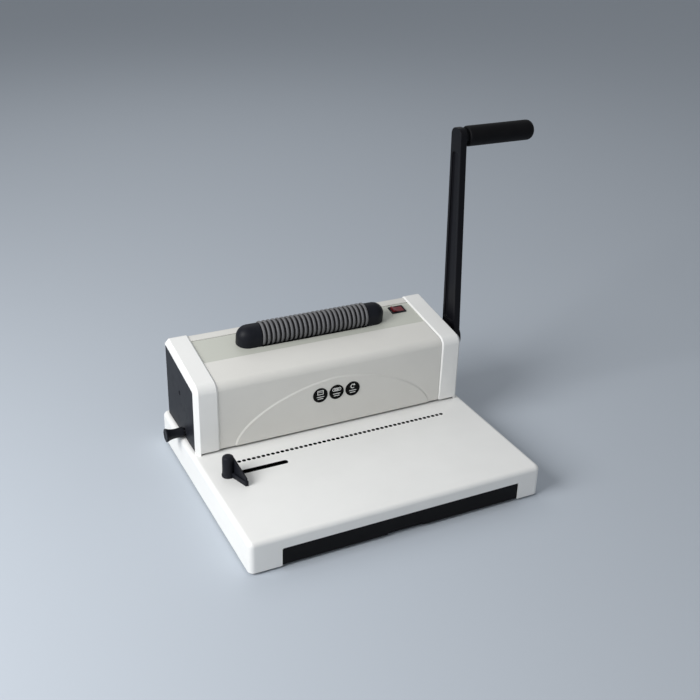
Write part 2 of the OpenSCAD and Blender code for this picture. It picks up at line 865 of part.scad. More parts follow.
// Point of the cam that touches the press plate after the lever has turned by a degrees
function cam_point(a) =
    let (h = cam_rest_r - cam_clear + cam_rate * a * PI / 180)
    [-h * sin(a) - cam_rate * cos(a), -h * cos(a) + cam_rate * sin(a)];
function cam_outline() = concat(
    [for (i = [0 : cam_steps]) cam_point(-cam_lead + (lever_swing + 2 * cam_lead) * i / cam_steps)],
    arc([0, 0], cam_hub_r, 130, -160, cam_steps));
module punch_cams() {
    color("lightgray") both_sides() translate([0, pivot_y, pivot_z]) difference() {
        along_x([cam_x - cam_w / 2, cam_x + cam_w / 2]) polygon(cam_outline());
        rod_x([cam_x - cam_w, cam_x + cam_w], 0, 0, shaft_r + fit_clear);
    }
}
module shaft_collars() {
    outer = frame_in_x - bush_flange_t - slide_clear;
    color("gray") both_sides() difference() {
        rod_x([outer - collar_w, outer], pivot_y, pivot_z, collar_r);
        rod_x([outer - collar_w - cut, outer + cut], pivot_y, pivot_z, shaft_r + fit_clear);
    }
}
// Half depth of the arm at a distance u from the drive shaft, less the inset e
function arm_half(u, e) = (arm_root_d + (arm_tip_d - arm_root_d) * u / lever_len) / 2 - e;
function arm_outline(u, e, r) =
    let (a = arm_half(u[0], e), b = arm_half(u[1], e))
    rounded([[-a, u[0]], [-b, u[1]], [b, u[1]], [a, u[0]]], r);
module lever_channel(x) {
    u = [hub_r + channel_start, lever_len - rod_r - channel_stop];
    r = channel_end_r;
    along_x(x) polygon(arm_outline(u, channel_rim, [r, r, r, r]));
}
module lever_arm() {
    side_x = arm_x + arm_t;
    half = square_w / 2 + fit_clear;
    color("black") on_lever() difference() {
        union() {
            along_x([arm_x, side_x])
                polygon(arm_outline([0, lever_len + arm_above_grip], 0, [0, arm_end_r, arm_end_r, 0]));
            rod_x([hub_in_x, hub_out_x], 0, 0, hub_r);
        }
        lever_channel([arm_x - cut, arm_x + channel_depth]);
        lever_channel([side_x - channel_depth, side_x + cut]);
        box([hub_in_x - cut, hub_out_x + cut], [-half, half], [-half, half]);
        rod_x([arm_x - cut, side_x + cut], 0, lever_len, rod_r + fit_clear);
    }
}
module lever_bolt() {
    color("gray") translate([hub_out_x, pivot_y, pivot_z]) rotate([0, 90, 0]) {
        difference() {
            cylinder(h = washer_t, r = washer_r);
            translate([0, 0, -cut]) cylinder(h = washer_t + 2 * cut, r = bolt_r + fit_clear);
        }
        translate([0, 0, washer_t]) down_screw(bolt_r, lever_bolt_l, bolt_head_r, bolt_head_h);
    }
}
module grip_rod() {
    color("dimgray") on_lever() {
        rod_x([arm_x + weld, grip_end_x - grip_cap - slide_clear], 0, lever_len, rod_r);
        rod_x([arm_x + arm_t, grip_x], 0, lever_len, rod_collar_r);
    }
}
module lever_grip() {
    profile = concat(
        [[0, 0], [grip_r - grip_chamfer, 0], [grip_r, grip_chamfer]],
        arc([grip_r - grip_dome, grip_len - grip_dome], grip_dome, 0, 90, arc_n),
        [[0, grip_len]]);
    color("black") on_lever() translate([grip_x, 0, lever_len]) rotate([0, 90, 0]) difference() {
        rotate_extrude() polygon(profile);
        translate([0, 0, -cut]) cylinder(h = grip_len - grip_cap + cut, r = rod_r + fit_clear);
    }
}

// Punch bar with its pins
module punch_bar() {
    z = [bar_z, bar_top_z];
    color("steelblue") difference() {
        box([-bar_x, bar_x], bar_y, z);
        pin_bores(z, pin_d / 2 + fit_clear);
        both_sides() {
            rod_z([z[0] - cut, z[1] + cut], post_x, pin_y, guide_post_r + running_clear);
            for (x = press_screw_xs) rod_z([z[0] - cut, z[1] + cut], x, press_screw_y, bolt_r + fit_clear);
        }
    }
}
module press_plate() {
    z = [bar_top_z, press_top_z];
    groove_x = row_len / 2 + pin_head_r + slide_clear;
    groove_y = [pin_y - groove_w / 2, pin_y + groove_w / 2];
    color("cadetblue") difference() {
        box([-bar_x, bar_x], bar_y, z);
        box([-groove_x, groove_x], groove_y, [z[0] - cut, z[0] + pin_head_h + fit_clear]);
        both_sides() {
            rod_z([z[0] - cut, z[1] + cut], post_x, pin_y, guide_post_r + slide_clear);
            for (x = press_screw_xs) rod_z([z[0] - cut, z[1] + cut], x, press_screw_y, bolt_r + fit_clear);
        }
    }
}
module punch_pins() {
    color("gainsboro") for (i = [0 : hole_count - 1]) {
        rod_z([pin_tip_z, bar_top_z + weld], row_x(i), pin_y, pin_d / 2);
        rod_z([bar_top_z, bar_top_z + pin_head_h], row_x(i), pin_y, pin_head_r);
    }
}
module punch_screws() {
    color("gray") both_sides() for (x = press_screw_xs) translate([x, press_screw_y, press_top_z])
        down_screw(bolt_r, press_t + bar_t - 2, bolt_head_r, screw_head_h);
}

// Paper stop and its adjustment
module backstop_bar() {
    x = ecc_x + ecc_w / 2;
    z = [strip_z, strip_z + strip_t];
    slot_half = ecc_r + slide_clear;
    color("orange") {
        box([-x, x], [pin_y + sheet_margin, strip_rear_y], z);
        both_sides() difference() {
            box([ecc_x - ecc_w / 2, x], [margin_y - ear_half, margin_y + ear_half], [z[0], ear_top_z]);
            box([ecc_x - ecc_w, ecc_x + ecc_w], [margin_y - slot_half, margin_y + slot_half],
                [margin_z - ecc_r + margin_throw / 2 - slide_clear, ear_top_z + cut]);
        }
    }
}
module margin_shaft() {
    color("silver") {
        rod_x([knob_start_x - knob_grip, frame_out_x + cut], margin_y, margin_z, margin_shaft_r);
        both_sides() rod_x([ecc_x - ecc_w / 2, ecc_x + ecc_w / 2], margin_y, margin_z + margin_throw, ecc_r);
    }
}
module margin_knob() {
    length = knob_start_x - knob_tip_x;
    r = knob_d / 2;
    profile = [
        [0, 0], [knob_collar_r - 0.5, 0], [knob_collar_r, 0.5], [knob_collar_r, knob_collar_w],
        [knob_neck_r + 0.6, knob_collar_w + 1], [knob_neck_r, knob_collar_w + 4],
        [knob_neck_r + 0.4, length * 0.6], [knob_neck_r + 1.6, length * 0.77], [r - 0.6, length - knob_rim_w],
        [r, length - knob_rim_w + 0.6], [r, length - 0.8], [r - 0.8, length], [0, length],
    ];
    color("black") translate([knob_start_x, margin_y, margin_z]) rotate([0, -90, 0]) difference() {
        rotate_extrude() polygon(profile);
        translate([0, 0, -cut]) cylinder(h = knob_grip + fit_clear + cut, r = margin_shaft_r + fit_clear);
    }
}

// Shell of the body
module shell_ring(d, bottom) {
    rear = body_rear_y - d - body_wall - cut;
    difference() {
        polygon(body_outline(d, bottom));
        polygon(body_outline(d + body_wall, bottom - cut));
        translate([rear, bottom - cut]) square([body_wall + d + 2 * cut, flange_z - bottom + cut]);
    }
}
function arch_point(a) =
    let (c = cos(a), s = sin(a))
    [arch_w * sign(c) * pow(abs(c), 2 / arch_power), arch_h * pow(abs(s), 2 / arch_power)];
module front_arch() {
    face = body_front_y + cap_proud;
    along_y([face - relief, face + weld]) translate([arch_x, throat_z])
        polygon([for (i = [0 : arch_steps]) arch_point(180 * i / arch_steps)]);
}
module body_cover() {
    x = [-seam_x, seam_x];
    window = block_out + 1;
    hole = housing / 2 + [cut, cut];
    seat_v = [panel_v[0] - seat_margin, panel_v[1] + seat_margin];
    through = [seat_w - seat_t - cut, seat_w + cut];
    color("whitesmoke") difference() {
        union() {
            along_x(x) shell_ring(cap_proud, throat_z);
            on_top() box(x, seat_v, [seat_w - seat_t, -cap_proud - weld]);
            front_arch();
        }
        on_top() {
            box(x + [-cut, cut], panel_v, [seat_w, cut]);
            translate([roller_x, roller_v]) box([-window, window], [-window_v, window_v], through);
            translate([switch_x, switch_v]) box([-hole[0], hole[0]], [-hole[1], hole[1]], through);
        }
    }
}
module front_badges() {
    face = body_front_y + cap_proud - relief;
    color("black") for (i = [-1 : 1])
        rod_y([face - badge_t, face], badge_x + i * badge_pitch, badge_z, badge_d / 2);
}
module end_cap() {
    wall_x = [body_x - body_wall, body_x];
    color("white") difference() {
        union() {
            along_x([seam_x, body_x]) shell_ring(0, throat_z);
            along_x(wall_x) difference() {
                polygon(body_outline(0, table_z));
                polygon(window_outline(0, table_z - cut, body_rear_y + cut));
            }
            for (p = cap_tabs) cap_tab(p);
        }
        for (p = cap_tabs)
            rod_x([frame_out_x - cut, frame_out_x + cap_tab_t + cut], p[0], p[1], screw_r + fit_clear);
    }
}
// Ear that reaches from the cap's wall over the steel frame
module cap_tab(p) {
    x = [frame_out_x, frame_out_x + cap_tab_t];
    front = p == cap_tabs[0];
    low = p - [cap_tab_r, cap_tab_r];
    high = p + [cap_tab_r, cap_tab_r];
    y = [front ? body_front_y + weld : low[0], high[0]];
    z = [low[1], front ? high[1] : top_z(low[0], body_wall - weld)];
    box(x, y, z);
}
module left_cap() {
    mirror([1, 0, 0]) end_cap();
}
module right_cap() {
    end_cap();
}
module cap_screws() {
    color("gray") both_sides() for (p = cap_tabs) translate([frame_in_x, p[0], p[1]]) rotate([0, -90, 0])
        down_screw(screw_r, frame_t + cap_tab_t, screw_head_r, screw_head_h);
}
module side_panel(hole_y, hole_z, hole_r) {
    bottom = table_z + slide_clear;
    inner = body_x - body_wall;
    flange_rear = body_rear_y - rear_t - slide_clear;
    flange_x = [inner - side_flange_t, inner];
    color("darkslategray") difference() {
        union() {
            along_x([inner - weld, body_x - side_set])
                polygon(window_outline(-side_gap, bottom, body_rear_y));
            along_x(flange_x) polygon(window_outline(side_flange, bottom, flange_rear));
        }
        rod_x([inner - side_flange_t - cut, body_x + cut], hole_y, hole_z, hole_r);
        rod_x([body_x - side_set - cut, body_x + cut], side_screw[0], side_screw[1], screw_head_r);
        box(flange_x - [cut, 0], [flange_rear, body_rear_y + cut], [bottom - cut, body_front_z + body_rise]);
    }
}
module left_side_panel() {
    mirror([1, 0, 0]) side_panel(margin_y, margin_z, knob_hole_r);
}
module right_side_panel() {
    side_panel(pivot_y, pivot_z, shaft_hole_r);
}
module rear_cover() {
    x = body_x - body_wall - slide_clear;
    y = [body_rear_y - rear_t, body_rear_y];
    z = [table_z, flange_z - slide_clear];
    hole = inlet_size / 2 + [slide_clear, slide_clear];
    past = [y[0] - cut, y[1] + cut];
    color("darkslategray") difference() {
        union() {
            box([-x, x], y, z);
            both_sides() rod_y([tie_y[1], y[0] + weld], rear_boss_x, tie_mid[1], rear_boss_r);
        }
        for (i = [0 : vent_count - 1]) translate([vent_x + i * vent_pitch, 0, vent_z])
            box([-vent_w / 2, vent_w / 2], past, [0, vent_h]);
        both_sides() rod_y([tie_y[1] - cut, y[1] + cut], rear_boss_x, tie_mid[1], screw_r + running_clear);
        translate([inlet_x, 0, inlet_z]) box([-hole[0], hole[0]], past, [-hole[1], hole[1]]);
    }
}
module rear_screws() {
    length = body_rear_y - tie_y[1] + rear_screw_l;
    color("gray") both_sides() translate([rear_boss_x, body_rear_y, tie_mid[1]]) rotate([-90, 0, 0])
        down_screw(screw_r, length, screw_head_r, screw_head_h);
}
module panel_holes(w) {
    hole = housing / 2 + [slide_clear, slide_clear];
    translate([roller_x, roller_v]) {
        box([-roller_slot_x, roller_slot_x], [-roller_slot_v, roller_slot_v], w);
        box([belt_in - cave_half, belt_in + cave_half], [-belt_cave_r, belt_cave_r], w);
        for (x = block_screw_xs) rod_z(w, x, 0, screw_r + running_clear);
    }
    translate([switch_x, switch_v]) box([-hole[0], hole[0]], [-hole[1], hole[1]], w);
}
module top_panel() {
    color("beige") on_top() difference() {
        box([-panel_x, panel_x], panel_v + [side_gap, -side_gap], [seat_w, panel_w]);
        panel_holes([seat_w - cut, panel_w + cut]);
    }
}

// Coil roller
// Block with its inner face at the origin, its dome towards +X and its bearing on the X axis
module block_solid() {
    nose = block_len - block_r;
    profile = concat([[0, 0], [0, block_r]], [for (p = arc([0, nose], block_r, 0, 90, arc_n)) [p[1], p[0]]]);
    plan = concat([[0, -block_r]], arc([nose, 0], block_r, -90, 180, 2 * arc_n), [[0, block_r]]);
    skirt_r = block_r + skirt_w;
    skirt = concat([[0, -skirt_r]], arc([nose, 0], skirt_r, -90, 180, 2 * arc_n), [[0, skirt_r]]);
    rotate([90, 0, 90]) rotate_extrude(angle = 180) polygon([for (p = profile) [p[1], p[0]]]);
    translate([0, 0, -roller_rise]) linear_extrude(height = roller_rise) polygon(plan);
    translate([0, 0, -roller_rise]) linear_extrude(height = skirt_h) polygon(skirt);
}
module on_roller() {
    on_top() translate([roller_x, roller_v, panel_w + roller_rise]) children();
}
module roller_block_left() {
    color("black") on_roller() mirror([1, 0, 0]) translate([block_in, 0, 0]) difference() {
        block_solid();
        rod_x([-cut, left_bore], 0, 0, roller_shaft_r + running_clear);
        for (x = left_screws)
            rod_z([-roller_rise - cut, -roller_rise + block_screw_l], x, 0, screw_r + fit_clear);
    }
}
module roller_block_right() {
    cave_x = [belt_in - block_in - cave_half, belt_in - block_in + cave_half];
    color("black") on_roller() translate([block_in, 0, 0]) difference() {
        block_solid();
        rod_x([-cut, right_bore], 0, 0, roller_shaft_r + running_clear);
        rod_x(cave_x, 0, 0, belt_cave_r);
        box(cave_x, [-belt_cave_r, belt_cave_r], [-roller_rise - cut, 0]);
        for (x = right_screws)
            rod_z([-roller_rise - cut, -roller_rise + block_screw_l], x, 0, screw_r + fit_clear);
    }
}
module block_screws() {
    length = panel_t + block_screw_l - slide_clear;
    color("gray") on_roller() for (x = block_screw_xs)
        translate([x, 0, -roller_rise - panel_t]) mirror([0, 0, 1])
            down_screw(screw_r, length, screw_head_r, screw_head_h);
}
module roller_shaft() {
    x = [-block_in - left_bore + slide_clear, block_in + right_bore - slide_clear];
    color("silver") on_roller() rod_x(x, 0, 0, roller_shaft_r);
}
module roller_sleeve() {
    half = roller_len / 2;
    color("dimgray") on_roller() difference() {
        rod_x([-half, half], 0, 0, sleeve_r);
        rod_x([-half - cut, half + cut], 0, 0, roller_shaft_r + fit_clear);
    }
}
module roller_rings() {
    in_r = sleeve_r + fit_clear;
    half = ring_w / 2;
    corners = [[in_r, -half], [ring_r, -half], [ring_r, half], [in_r, half]];
    first = (ring_count - 1) / 2;
    color("darkgray") on_roller() for (i = [0 : ring_count - 1])
        translate([(i - first) * ring_pitch, 0, 0]) rotate([0, 90, 0])
            rotate_extrude() polygon(rounded(corners, [0, ring_edge_r, ring_edge_r, 0]));
}
// Pulley on the X axis with its belt groove at the origin
module pulley(bore_r) {
    groove = belt_w / 2 + belt_gap;
    rim_r = pulley_flange_r;
    profile = [
        [bore_r, -pulley_half], [rim_r, -pulley_half], [rim_r, -groove], [pulley_r, -groove],
        [pulley_r, groove], [rim_r, groove], [rim_r, pulley_half], [bore_r, pulley_half],
    ];
    rotate([0, 90, 0]) rotate_extrude() polygon(profile);
}
module roller_pulley() {
    color("khaki") on_roller() translate([belt_in, 0, 0]) pulley(roller_shaft_r + fit_clear);
}
module on_motor() {
    translate([0, motor_y, motor_z]) children();
}
module motor() {
    x = [bracket_x - motor_l, bracket_x];
    color("gray") on_motor() difference() {
        union() {
            rod_x(x, 0, 0, motor_r);
            rod_x([bracket_x - weld, motor_face_x], 0, 0, motor_boss_r);
        }
        rod_x([bracket_x - motor_l / 2, motor_face_x + cut], 0, 0, motor_shaft_r + running_clear);
        for (z = motor_screw_zs)
            rod_x([bracket_x - motor_screw_l, bracket_x + cut], 0, z, screw_r + fit_clear);
    }
}
module motor_bracket() {
    y = [motor_y - motor_r - bracket_lip, max(tie_y[1], motor_y + motor_r + bracket_lip)];
    color("silver") difference() {
        union() {
            box([bracket_x, motor_face_x], y, [tie_z[1], motor_z + motor_r + bracket_lip]);
            box([motor_face_x - weld, motor_face_x + bracket_foot_l], tie_y, [tie_z[1], tie_z[1] + bracket_t]);
        }
        on_motor() {
            rod_x([bracket_x - cut, motor_face_x + cut], 0, 0, motor_boss_r + fit_clear);
            for (z = motor_screw_zs)
                rod_x([bracket_x - cut, motor_face_x + cut], 0, z, screw_r + running_clear);
        }
        rod_z([tie_z[1] - cut, tie_z[1] + bracket_t + cut], bracket_screw_x, tie_mid[0], screw_r + running_clear);
    }
}
module motor_screws() {
    color("gray") {
        on_motor() for (z = motor_screw_zs) translate([motor_face_x, 0, z]) rotate([0, 90, 0])
            down_screw(screw_r, bracket_t + motor_screw_l - slide_clear, screw_head_r, screw_head_h);
        translate([bracket_screw_x, tie_mid[0], tie_z[1] + bracket_t])
            down_screw(screw_r, bracket_t + rear_screw_l, screw_head_r, screw_head_h);
    }
}
module motor_shaft() {
    x = [bracket_x - motor_l / 2 + slide_clear, belt_x + pulley_half + cut];
    color("gainsboro") on_motor() rod_x(x, 0, 0, motor_shaft_r);
}
module motor_pulley() {
    color("khaki") on_motor() translate([belt_x, 0, 0]) pulley(motor_shaft_r + fit_clear);
}
module drive_belt() {
    x = [belt_x - belt_w / 2, belt_x + belt_w / 2];
    color("black") on_motor() along_x(x) rotate(belt_angle) difference() {
        stadium(belt_len, belt_out_r);
        stadium(belt_len, belt_r);
    }
}

// Switch, inlet and wires
module switch_body() {
    inside = well_size / 2;
    pin_end = inside[1] + rocker_pin_l + slide_clear / 2;
    color("black") on_top() translate([switch_x, switch_v, panel_w]) difference() {
        union() {
            block(bezel, [0, bezel_t]);
            block(housing, [-housing_h, weld]);
        }
        block(well_size, [-rocker_drop - cut, bezel_t + cut]);
        rod_y([-pin_end, pin_end], 0, bezel_t - rocker_seat, rocker_pin_r + running_clear);
    }
}
module switch_rocker() {
    half = well_size[1] / 2 - rocker_gap;
    pin_end = well_size[1] / 2 + rocker_pin_l;
    low = bezel_t - rocker_drop;
    foot = rocker_half / 3;
    outline = [
        [-rocker_half, rocker_h], [0, rocker_dip], [rocker_half, rocker_h], [rocker_half, -rocker_pin_r],
        [foot, low], [-foot, low], [-rocker_half, -rocker_pin_r],
    ];
    place = [switch_x, switch_v, panel_w + bezel_t - rocker_seat];
    color("firebrick") on_top() translate(place) rotate([0, rocker_tilt, 0]) {
        along_y([-half, half]) polygon(outline);
        rod_y([-pin_end, pin_end], 0, 0, rocker_pin_r);
    }
}
module power_inlet() {
    inside = inlet_size - 2 * [inlet_wall, inlet_wall];
    floor_z = inlet_wall - inlet_depth;
    color("black") translate([inlet_x, body_rear_y, inlet_z]) rotate([-90, 0, 0]) {
        difference() {
            union() {
                block(inlet_size, [-inlet_depth, weld]);
                block(inlet_flange, [0, inlet_flange_t]);
            }
            block(inside, [floor_z, inlet_flange_t + cut]);
        }
        for (i = [-1 : 1]) translate([i * blade_gap, i == 0 ? -blade_rise : blade_rise])
            block(blade, [floor_z - weld, floor_z + blade_l]);
    }
}
// Leads run straight between clips, which hide their bends
module clip(x, y, z) {
    box([x - clip_r, x + clip_r], [y - clip_r, y + clip_r], [z - clip_r, z + clip_r]);
}
// Lead from a height up to the switch, past the tie bar
module lead_up(x, z) {
    rod_z([z, bend_z], x, lead_y, wire_r);
    clip(x, lead_y, bend_z);
    rod_y([min(lead_y, switch_y), max(lead_y, switch_y)], x, bend_z, wire_r);
    clip(x, switch_y, bend_z);
    rod_z([bend_z, switch_z], x, switch_y, wire_r);
}
module inner_wires() {
    inlet_y = body_rear_y - inlet_depth;
    motor_end_x = bracket_x - motor_l;
    motor_lead_x = motor_end_x - wire_run;
    up_x = switch_x + wire_gap;
    back_x = switch_x - wire_gap;
    color("maroon") {
        rod_y([lead_y, inlet_y], inlet_x, inlet_z, wire_r);
        clip(inlet_x, lead_y, inlet_z);
        rod_z([inlet_z, wire_z], inlet_x, lead_y, wire_r);
        clip(inlet_x, lead_y, wire_z);
        rod_x([inlet_x, up_x], lead_y, wire_z, wire_r);
        clip(up_x, lead_y, wire_z);
        lead_up(up_x, wire_z);
        rod_x([motor_lead_x, motor_end_x], motor_y, motor_z, wire_r);
        clip(motor_lead_x, motor_y, motor_z);
        rod_y([min(motor_y, lead_y), max(motor_y, lead_y)], motor_lead_x, motor_z, wire_r);
        clip(motor_lead_x, lead_y, motor_z);
        rod_z([lead_z, motor_z], motor_lead_x, lead_y, wire_r);
        clip(motor_lead_x, lead_y, lead_z);
        rod_x([motor_lead_x, back_x], lead_y, lead_z, wire_r);
        clip(back_x, lead_y, lead_z);
        lead_up(back_x, lead_z);
    }
}

// Edge guide
module edge_guide() {
    z0 = table_z + slide_clear;
    r = post_d / 2;
    foot = r + post_foot;
    top = z0 + post_h;
    shoulder = top - post_round;
    back_y = slot_y + r - cut;
    tip_y = slot_y - fence_len;
    low_x = guide_x + web_set;
    high_x = guide_x + r - web_set;
    high_y = tip_y + cut;
    post = [[0, z0], [foot, z0], [foot, z0 + post_foot_h], [r, z0 + post_neck_h], [r, top], [0, top]];
    low = [
        [fence_x, tip_y], [fence_x - fence_tip_w, tip_y], [low_x, slot_y - r],
        [low_x, back_y], [fence_x, back_y],
    ];
    high = [
        [fence_x, high_y], [fence_x - web_tip_w, high_y], [high_x, slot_y - fence_tip_w],
        [high_x, back_y], [fence_x, back_y],
    ];
    rear = back_y + cut;
    foot_z = z0 + weld;
    ledge_x = fence_x - tip_round;
    fall = [
        [guide_x, foot_z], [guide_x, shoulder], [guide_x + r, shoulder],
        [ledge_x, z0 + fence_h - weld], [ledge_x, foot_z],
    ];
    slant = [
        [high_y, foot_z], [high_y, z0 + fence_h], [slot_y - web_tip_w, shoulder],
        [rear, shoulder], [rear, foot_z],
    ];
    color("black") difference() {
        union() {
            translate([guide_x, slot_y, 0]) rotate_extrude()
                polygon(rounded(post, [0, 0, post_foot_round, post_foot_round, post_round, 0]));
            along_z([z0, z0 + fence_h]) polygon(rounded(low, [tip_round, tip_round, 0, 0, 0]));
            intersection() {
                along_z([z0, top]) polygon(high);
                along_x([guide_x, fence_x + cut]) polygon(slant);
                along_y([high_y, rear]) polygon(fall);
            }
        }
        rod_z([z0 - cut, z0 + guide_screw_l + slide_clear], guide_x, slot_y, screw_r + fit_clear);
    }
}
module guide_clamp() {
    top = table_z - table_t - slide_clear;
    bottom = top - clamp_t;
    length = table_z + slide_clear + guide_screw_l - bottom;
    color("gray") translate([guide_x, slot_y, 0]) {
        block(clamp, [bottom, top]);
        block([stem_l, stem_w], [top - weld, table_z + slide_clear]);
        translate([0, 0, bottom]) mirror([0, 0, 1]) down_screw(screw_r, length, screw_head_r, screw_head_h);
    }
}

in_frame() base_cover();
in_frame() base_plate();
in_frame() rubber_feet();
in_frame() base_screws();
in_frame() drawer_rails();
in_frame() chip_drawer();
in_frame() left_frame();
in_frame() right_frame();
in_frame() frame_foot_bolts();
in_frame() die_plate();
in_frame() guide_plate();
in_frame() frame_bolts();
in_frame() guide_posts();
in_frame() return_springs();
in_frame() tie_bar();
in_frame() shaft_bushes();
in_frame() drive_shaft();
in_frame() punch_cams();
in_frame() shaft_collars();
in_frame() lever_arm();
in_frame() lever_bolt();
in_frame() grip_rod();
in_frame() lever_grip();
in_frame() punch_bar();
in_frame() press_plate();
in_frame() punch_pins();
in_frame() punch_screws();
in_frame() backstop_bar();
in_frame() margin_shaft();
in_frame() margin_knob();
in_frame() body_cover();
in_frame() top_panel();
in_frame() left_cap();
in_frame() right_cap();
in_frame() cap_screws();
in_frame() left_side_panel();
in_frame() right_side_panel();
in_frame() rear_cover();
in_frame() rear_screws();
in_frame() front_badges();
in_frame() roller_block_left();
in_frame() roller_block_right();
in_frame() block_screws();
in_frame() roller_shaft();
in_frame() roller_sleeve();
in_frame() roller_rings();
in_frame() roller_pulley();
in_frame() motor();
in_frame() motor_bracket();
in_frame() motor_screws();
in_frame() motor_shaft();
in_frame() motor_pulley();
in_frame() drive_belt();
in_frame() switch_body();
in_frame() switch_rocker();
in_frame() power_inlet();
in_frame() edge_guide();
in_frame() guide_clamp();
in_frame() inner_wires();
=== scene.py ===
import json
import math

import bmesh
import bpy
from bpy.props import FloatProperty, FloatVectorProperty, IntProperty, PointerProperty
from bpy.types import Operator, Panel, PropertyGroup
from mathutils import Matrix, Vector


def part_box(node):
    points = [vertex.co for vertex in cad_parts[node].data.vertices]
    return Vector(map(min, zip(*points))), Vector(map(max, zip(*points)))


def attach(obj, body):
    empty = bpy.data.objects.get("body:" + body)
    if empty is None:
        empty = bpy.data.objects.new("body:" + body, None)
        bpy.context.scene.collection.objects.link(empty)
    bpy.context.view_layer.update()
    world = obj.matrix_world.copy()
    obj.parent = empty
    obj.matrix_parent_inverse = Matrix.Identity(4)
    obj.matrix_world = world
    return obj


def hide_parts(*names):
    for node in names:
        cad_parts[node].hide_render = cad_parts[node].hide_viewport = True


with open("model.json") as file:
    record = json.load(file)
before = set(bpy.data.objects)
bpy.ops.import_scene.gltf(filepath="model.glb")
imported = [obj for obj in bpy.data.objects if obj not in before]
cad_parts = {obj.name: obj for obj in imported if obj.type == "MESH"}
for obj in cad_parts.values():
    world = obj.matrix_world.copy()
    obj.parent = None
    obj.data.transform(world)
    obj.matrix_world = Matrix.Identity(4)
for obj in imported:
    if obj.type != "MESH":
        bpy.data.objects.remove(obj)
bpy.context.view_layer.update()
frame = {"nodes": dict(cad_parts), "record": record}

bl_info = {
    "name": "Coil Binding Machine",
    "version": (1, 0, 0),
    "blender": (4, 5, 0),
    "location": "3D View > Sidebar > Binder",
    "description": "Dresses the solids of a coil binding machine with moulded shells, a ribbed roller and a pull lever",
    "category": "Object",
}

MM = 0.001
TOUCH = 1e-6  # metres; what is closer counts as the same place
MERGE = 1e-7  # metres; for cuts and merged points


def joint_place(name):
    """A joint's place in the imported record."""
    return Vector(next(j for j in frame["record"]["behaviour"]["joints"] if j["name"] == name)["pos_m"])


TABLE_X = sum(corner.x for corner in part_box("base_cover")) / 2
TABLE_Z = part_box("base_cover")[1].z
BODY_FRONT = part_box("left_cap")[0].y
BODY_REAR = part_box("left_cap")[1].y
POST_ROW_Y = BODY_FRONT - 0.035
SEAM_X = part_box("body_cover")[1].x - TABLE_X - 0.002  # the caps reach 2 mm past the solids' seam
SIDE_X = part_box("right_cap")[1].x - TABLE_X
ROLLER_AXIS = joint_place("roller_spin")
PIVOT = joint_place("lever_pull")
PIVOT.x = TABLE_X


def length(name, text, value, **more):
    """A length property."""
    return FloatProperty(name=name, description=text, default=value, unit="LENGTH", **more)


def tint(name, text, value):
    """A colour property."""
    return FloatVectorProperty(name=name, description=text, default=value, size=3, min=0.0, max=1.0, subtype="COLOR")


class ShellSizes(PropertyGroup):
    """Sizes of the moulded shells."""
    corner: length("Base corners", "Radius of the base's upright corners", 0.007)
    table_edge: length("Table edge", "Radius of the table's outer edge", 0.0055)
    wall: length("Wall", "Thickness of the shells", 0.0025)
    front_height: length("Front height", "Height of the end caps' front edge above the desk", 0.134)
    rise: length("Rise", "Rise of the body's top from front to back", 0.0175)
    throat: length("Throat", "Height of the paper throat", 0.003)
    proud: length("Cap step", "Step from the end caps down to the cover", 0.0016)
    front_round: length("Front round", "Radius of the body's front top edge", 0.012)
    rear_round: length("Rear round", "Radius of the body's rear top edge", 0.006)
    cap_edge: length("Cap edge", "Width of the bevel on the end caps' outer edges", 0.0045)
    seam_edge: length("Seam edge", "Width of the slope from the end caps down to the cover", 0.002)
    rim: length("Cap rim", "Width of the white rim round the side panel", 0.009)
    arch_half: length("Arch half width", "Half the width of the raised arch", 0.1368)
    arch_height: length("Arch height", "Height of the raised arch", 0.0678)
    arch_edge: length("Arch edge", "Width of the arch's sloping edge", 0.0022)
    arch_relief: length("Arch relief", "How far the arch stands out", 0.001)
    drawer_half: length("Drawer half width", "Half the width of the drawer opening", 0.154)
    drawer_shift: length("Drawer shift", "Distance of the drawer to the right of the base's middle", 0.004)
    drawer_top: length("Drawer top", "Top of the drawer opening above the desk", 0.026)


class TableSizes(PropertyGroup):
    """Holes and slot in the table."""
    holes: IntProperty(name="Holes", description="Number of gauge holes", default=46, min=2)
    pitch: length("Pitch", "Distance from hole to hole", 0.00625, precision=5)
    hole: length("Hole", "Diameter of a gauge hole", 0.004)
    slot_width: length("Slot width", "Width of the guide slot", 0.0064)
    row_y: length("Row", "Place of the row, front to back", 0.001)
    slot_y: length("Slot", "Place of the guide slot, front to back", -0.0215)
    slot_from: length("Slot start", "Left end of the slot from the table's middle", -0.1655)
    slot_to: length("Slot end", "Right end of the slot from the table's middle", -0.090525)


class LeverSizes(PropertyGroup):
    """Sizes of the lever, grip and knob."""
    lean: FloatProperty(name="Lean", description="Backward lean at rest", default=math.radians(3.5), subtype="ANGLE",
                        unit="ROTATION")
    reach: length("Reach", "Distance from the shaft to the grip", 0.2695)
    above: length("Above grip", "Arm above the grip's axis", 0.012)
    root: length("Root depth", "Depth of the arm at the shaft", 0.031)
    tip: length("Tip depth", "Depth of the arm at the grip", 0.0234)
    inner: length("Arm inside", "Inner face of the arm from the table's middle", 0.1925)
    thick: length("Arm thickness", "Thickness of the arm", 0.009)
    channel: length("Channel depth", "Depth of the channel in the arm's faces", 0.0025)
    rim: length("Channel rim", "Width of the rim beside the channel", 0.0045)
    grip: length("Grip diameter", "Diameter of the grip", 0.026)
    dome: length("Grip dome", "Radius of the grip's round end", 0.008)
    knob: length("Knob diameter", "Diameter of the margin knob's end", 0.017)


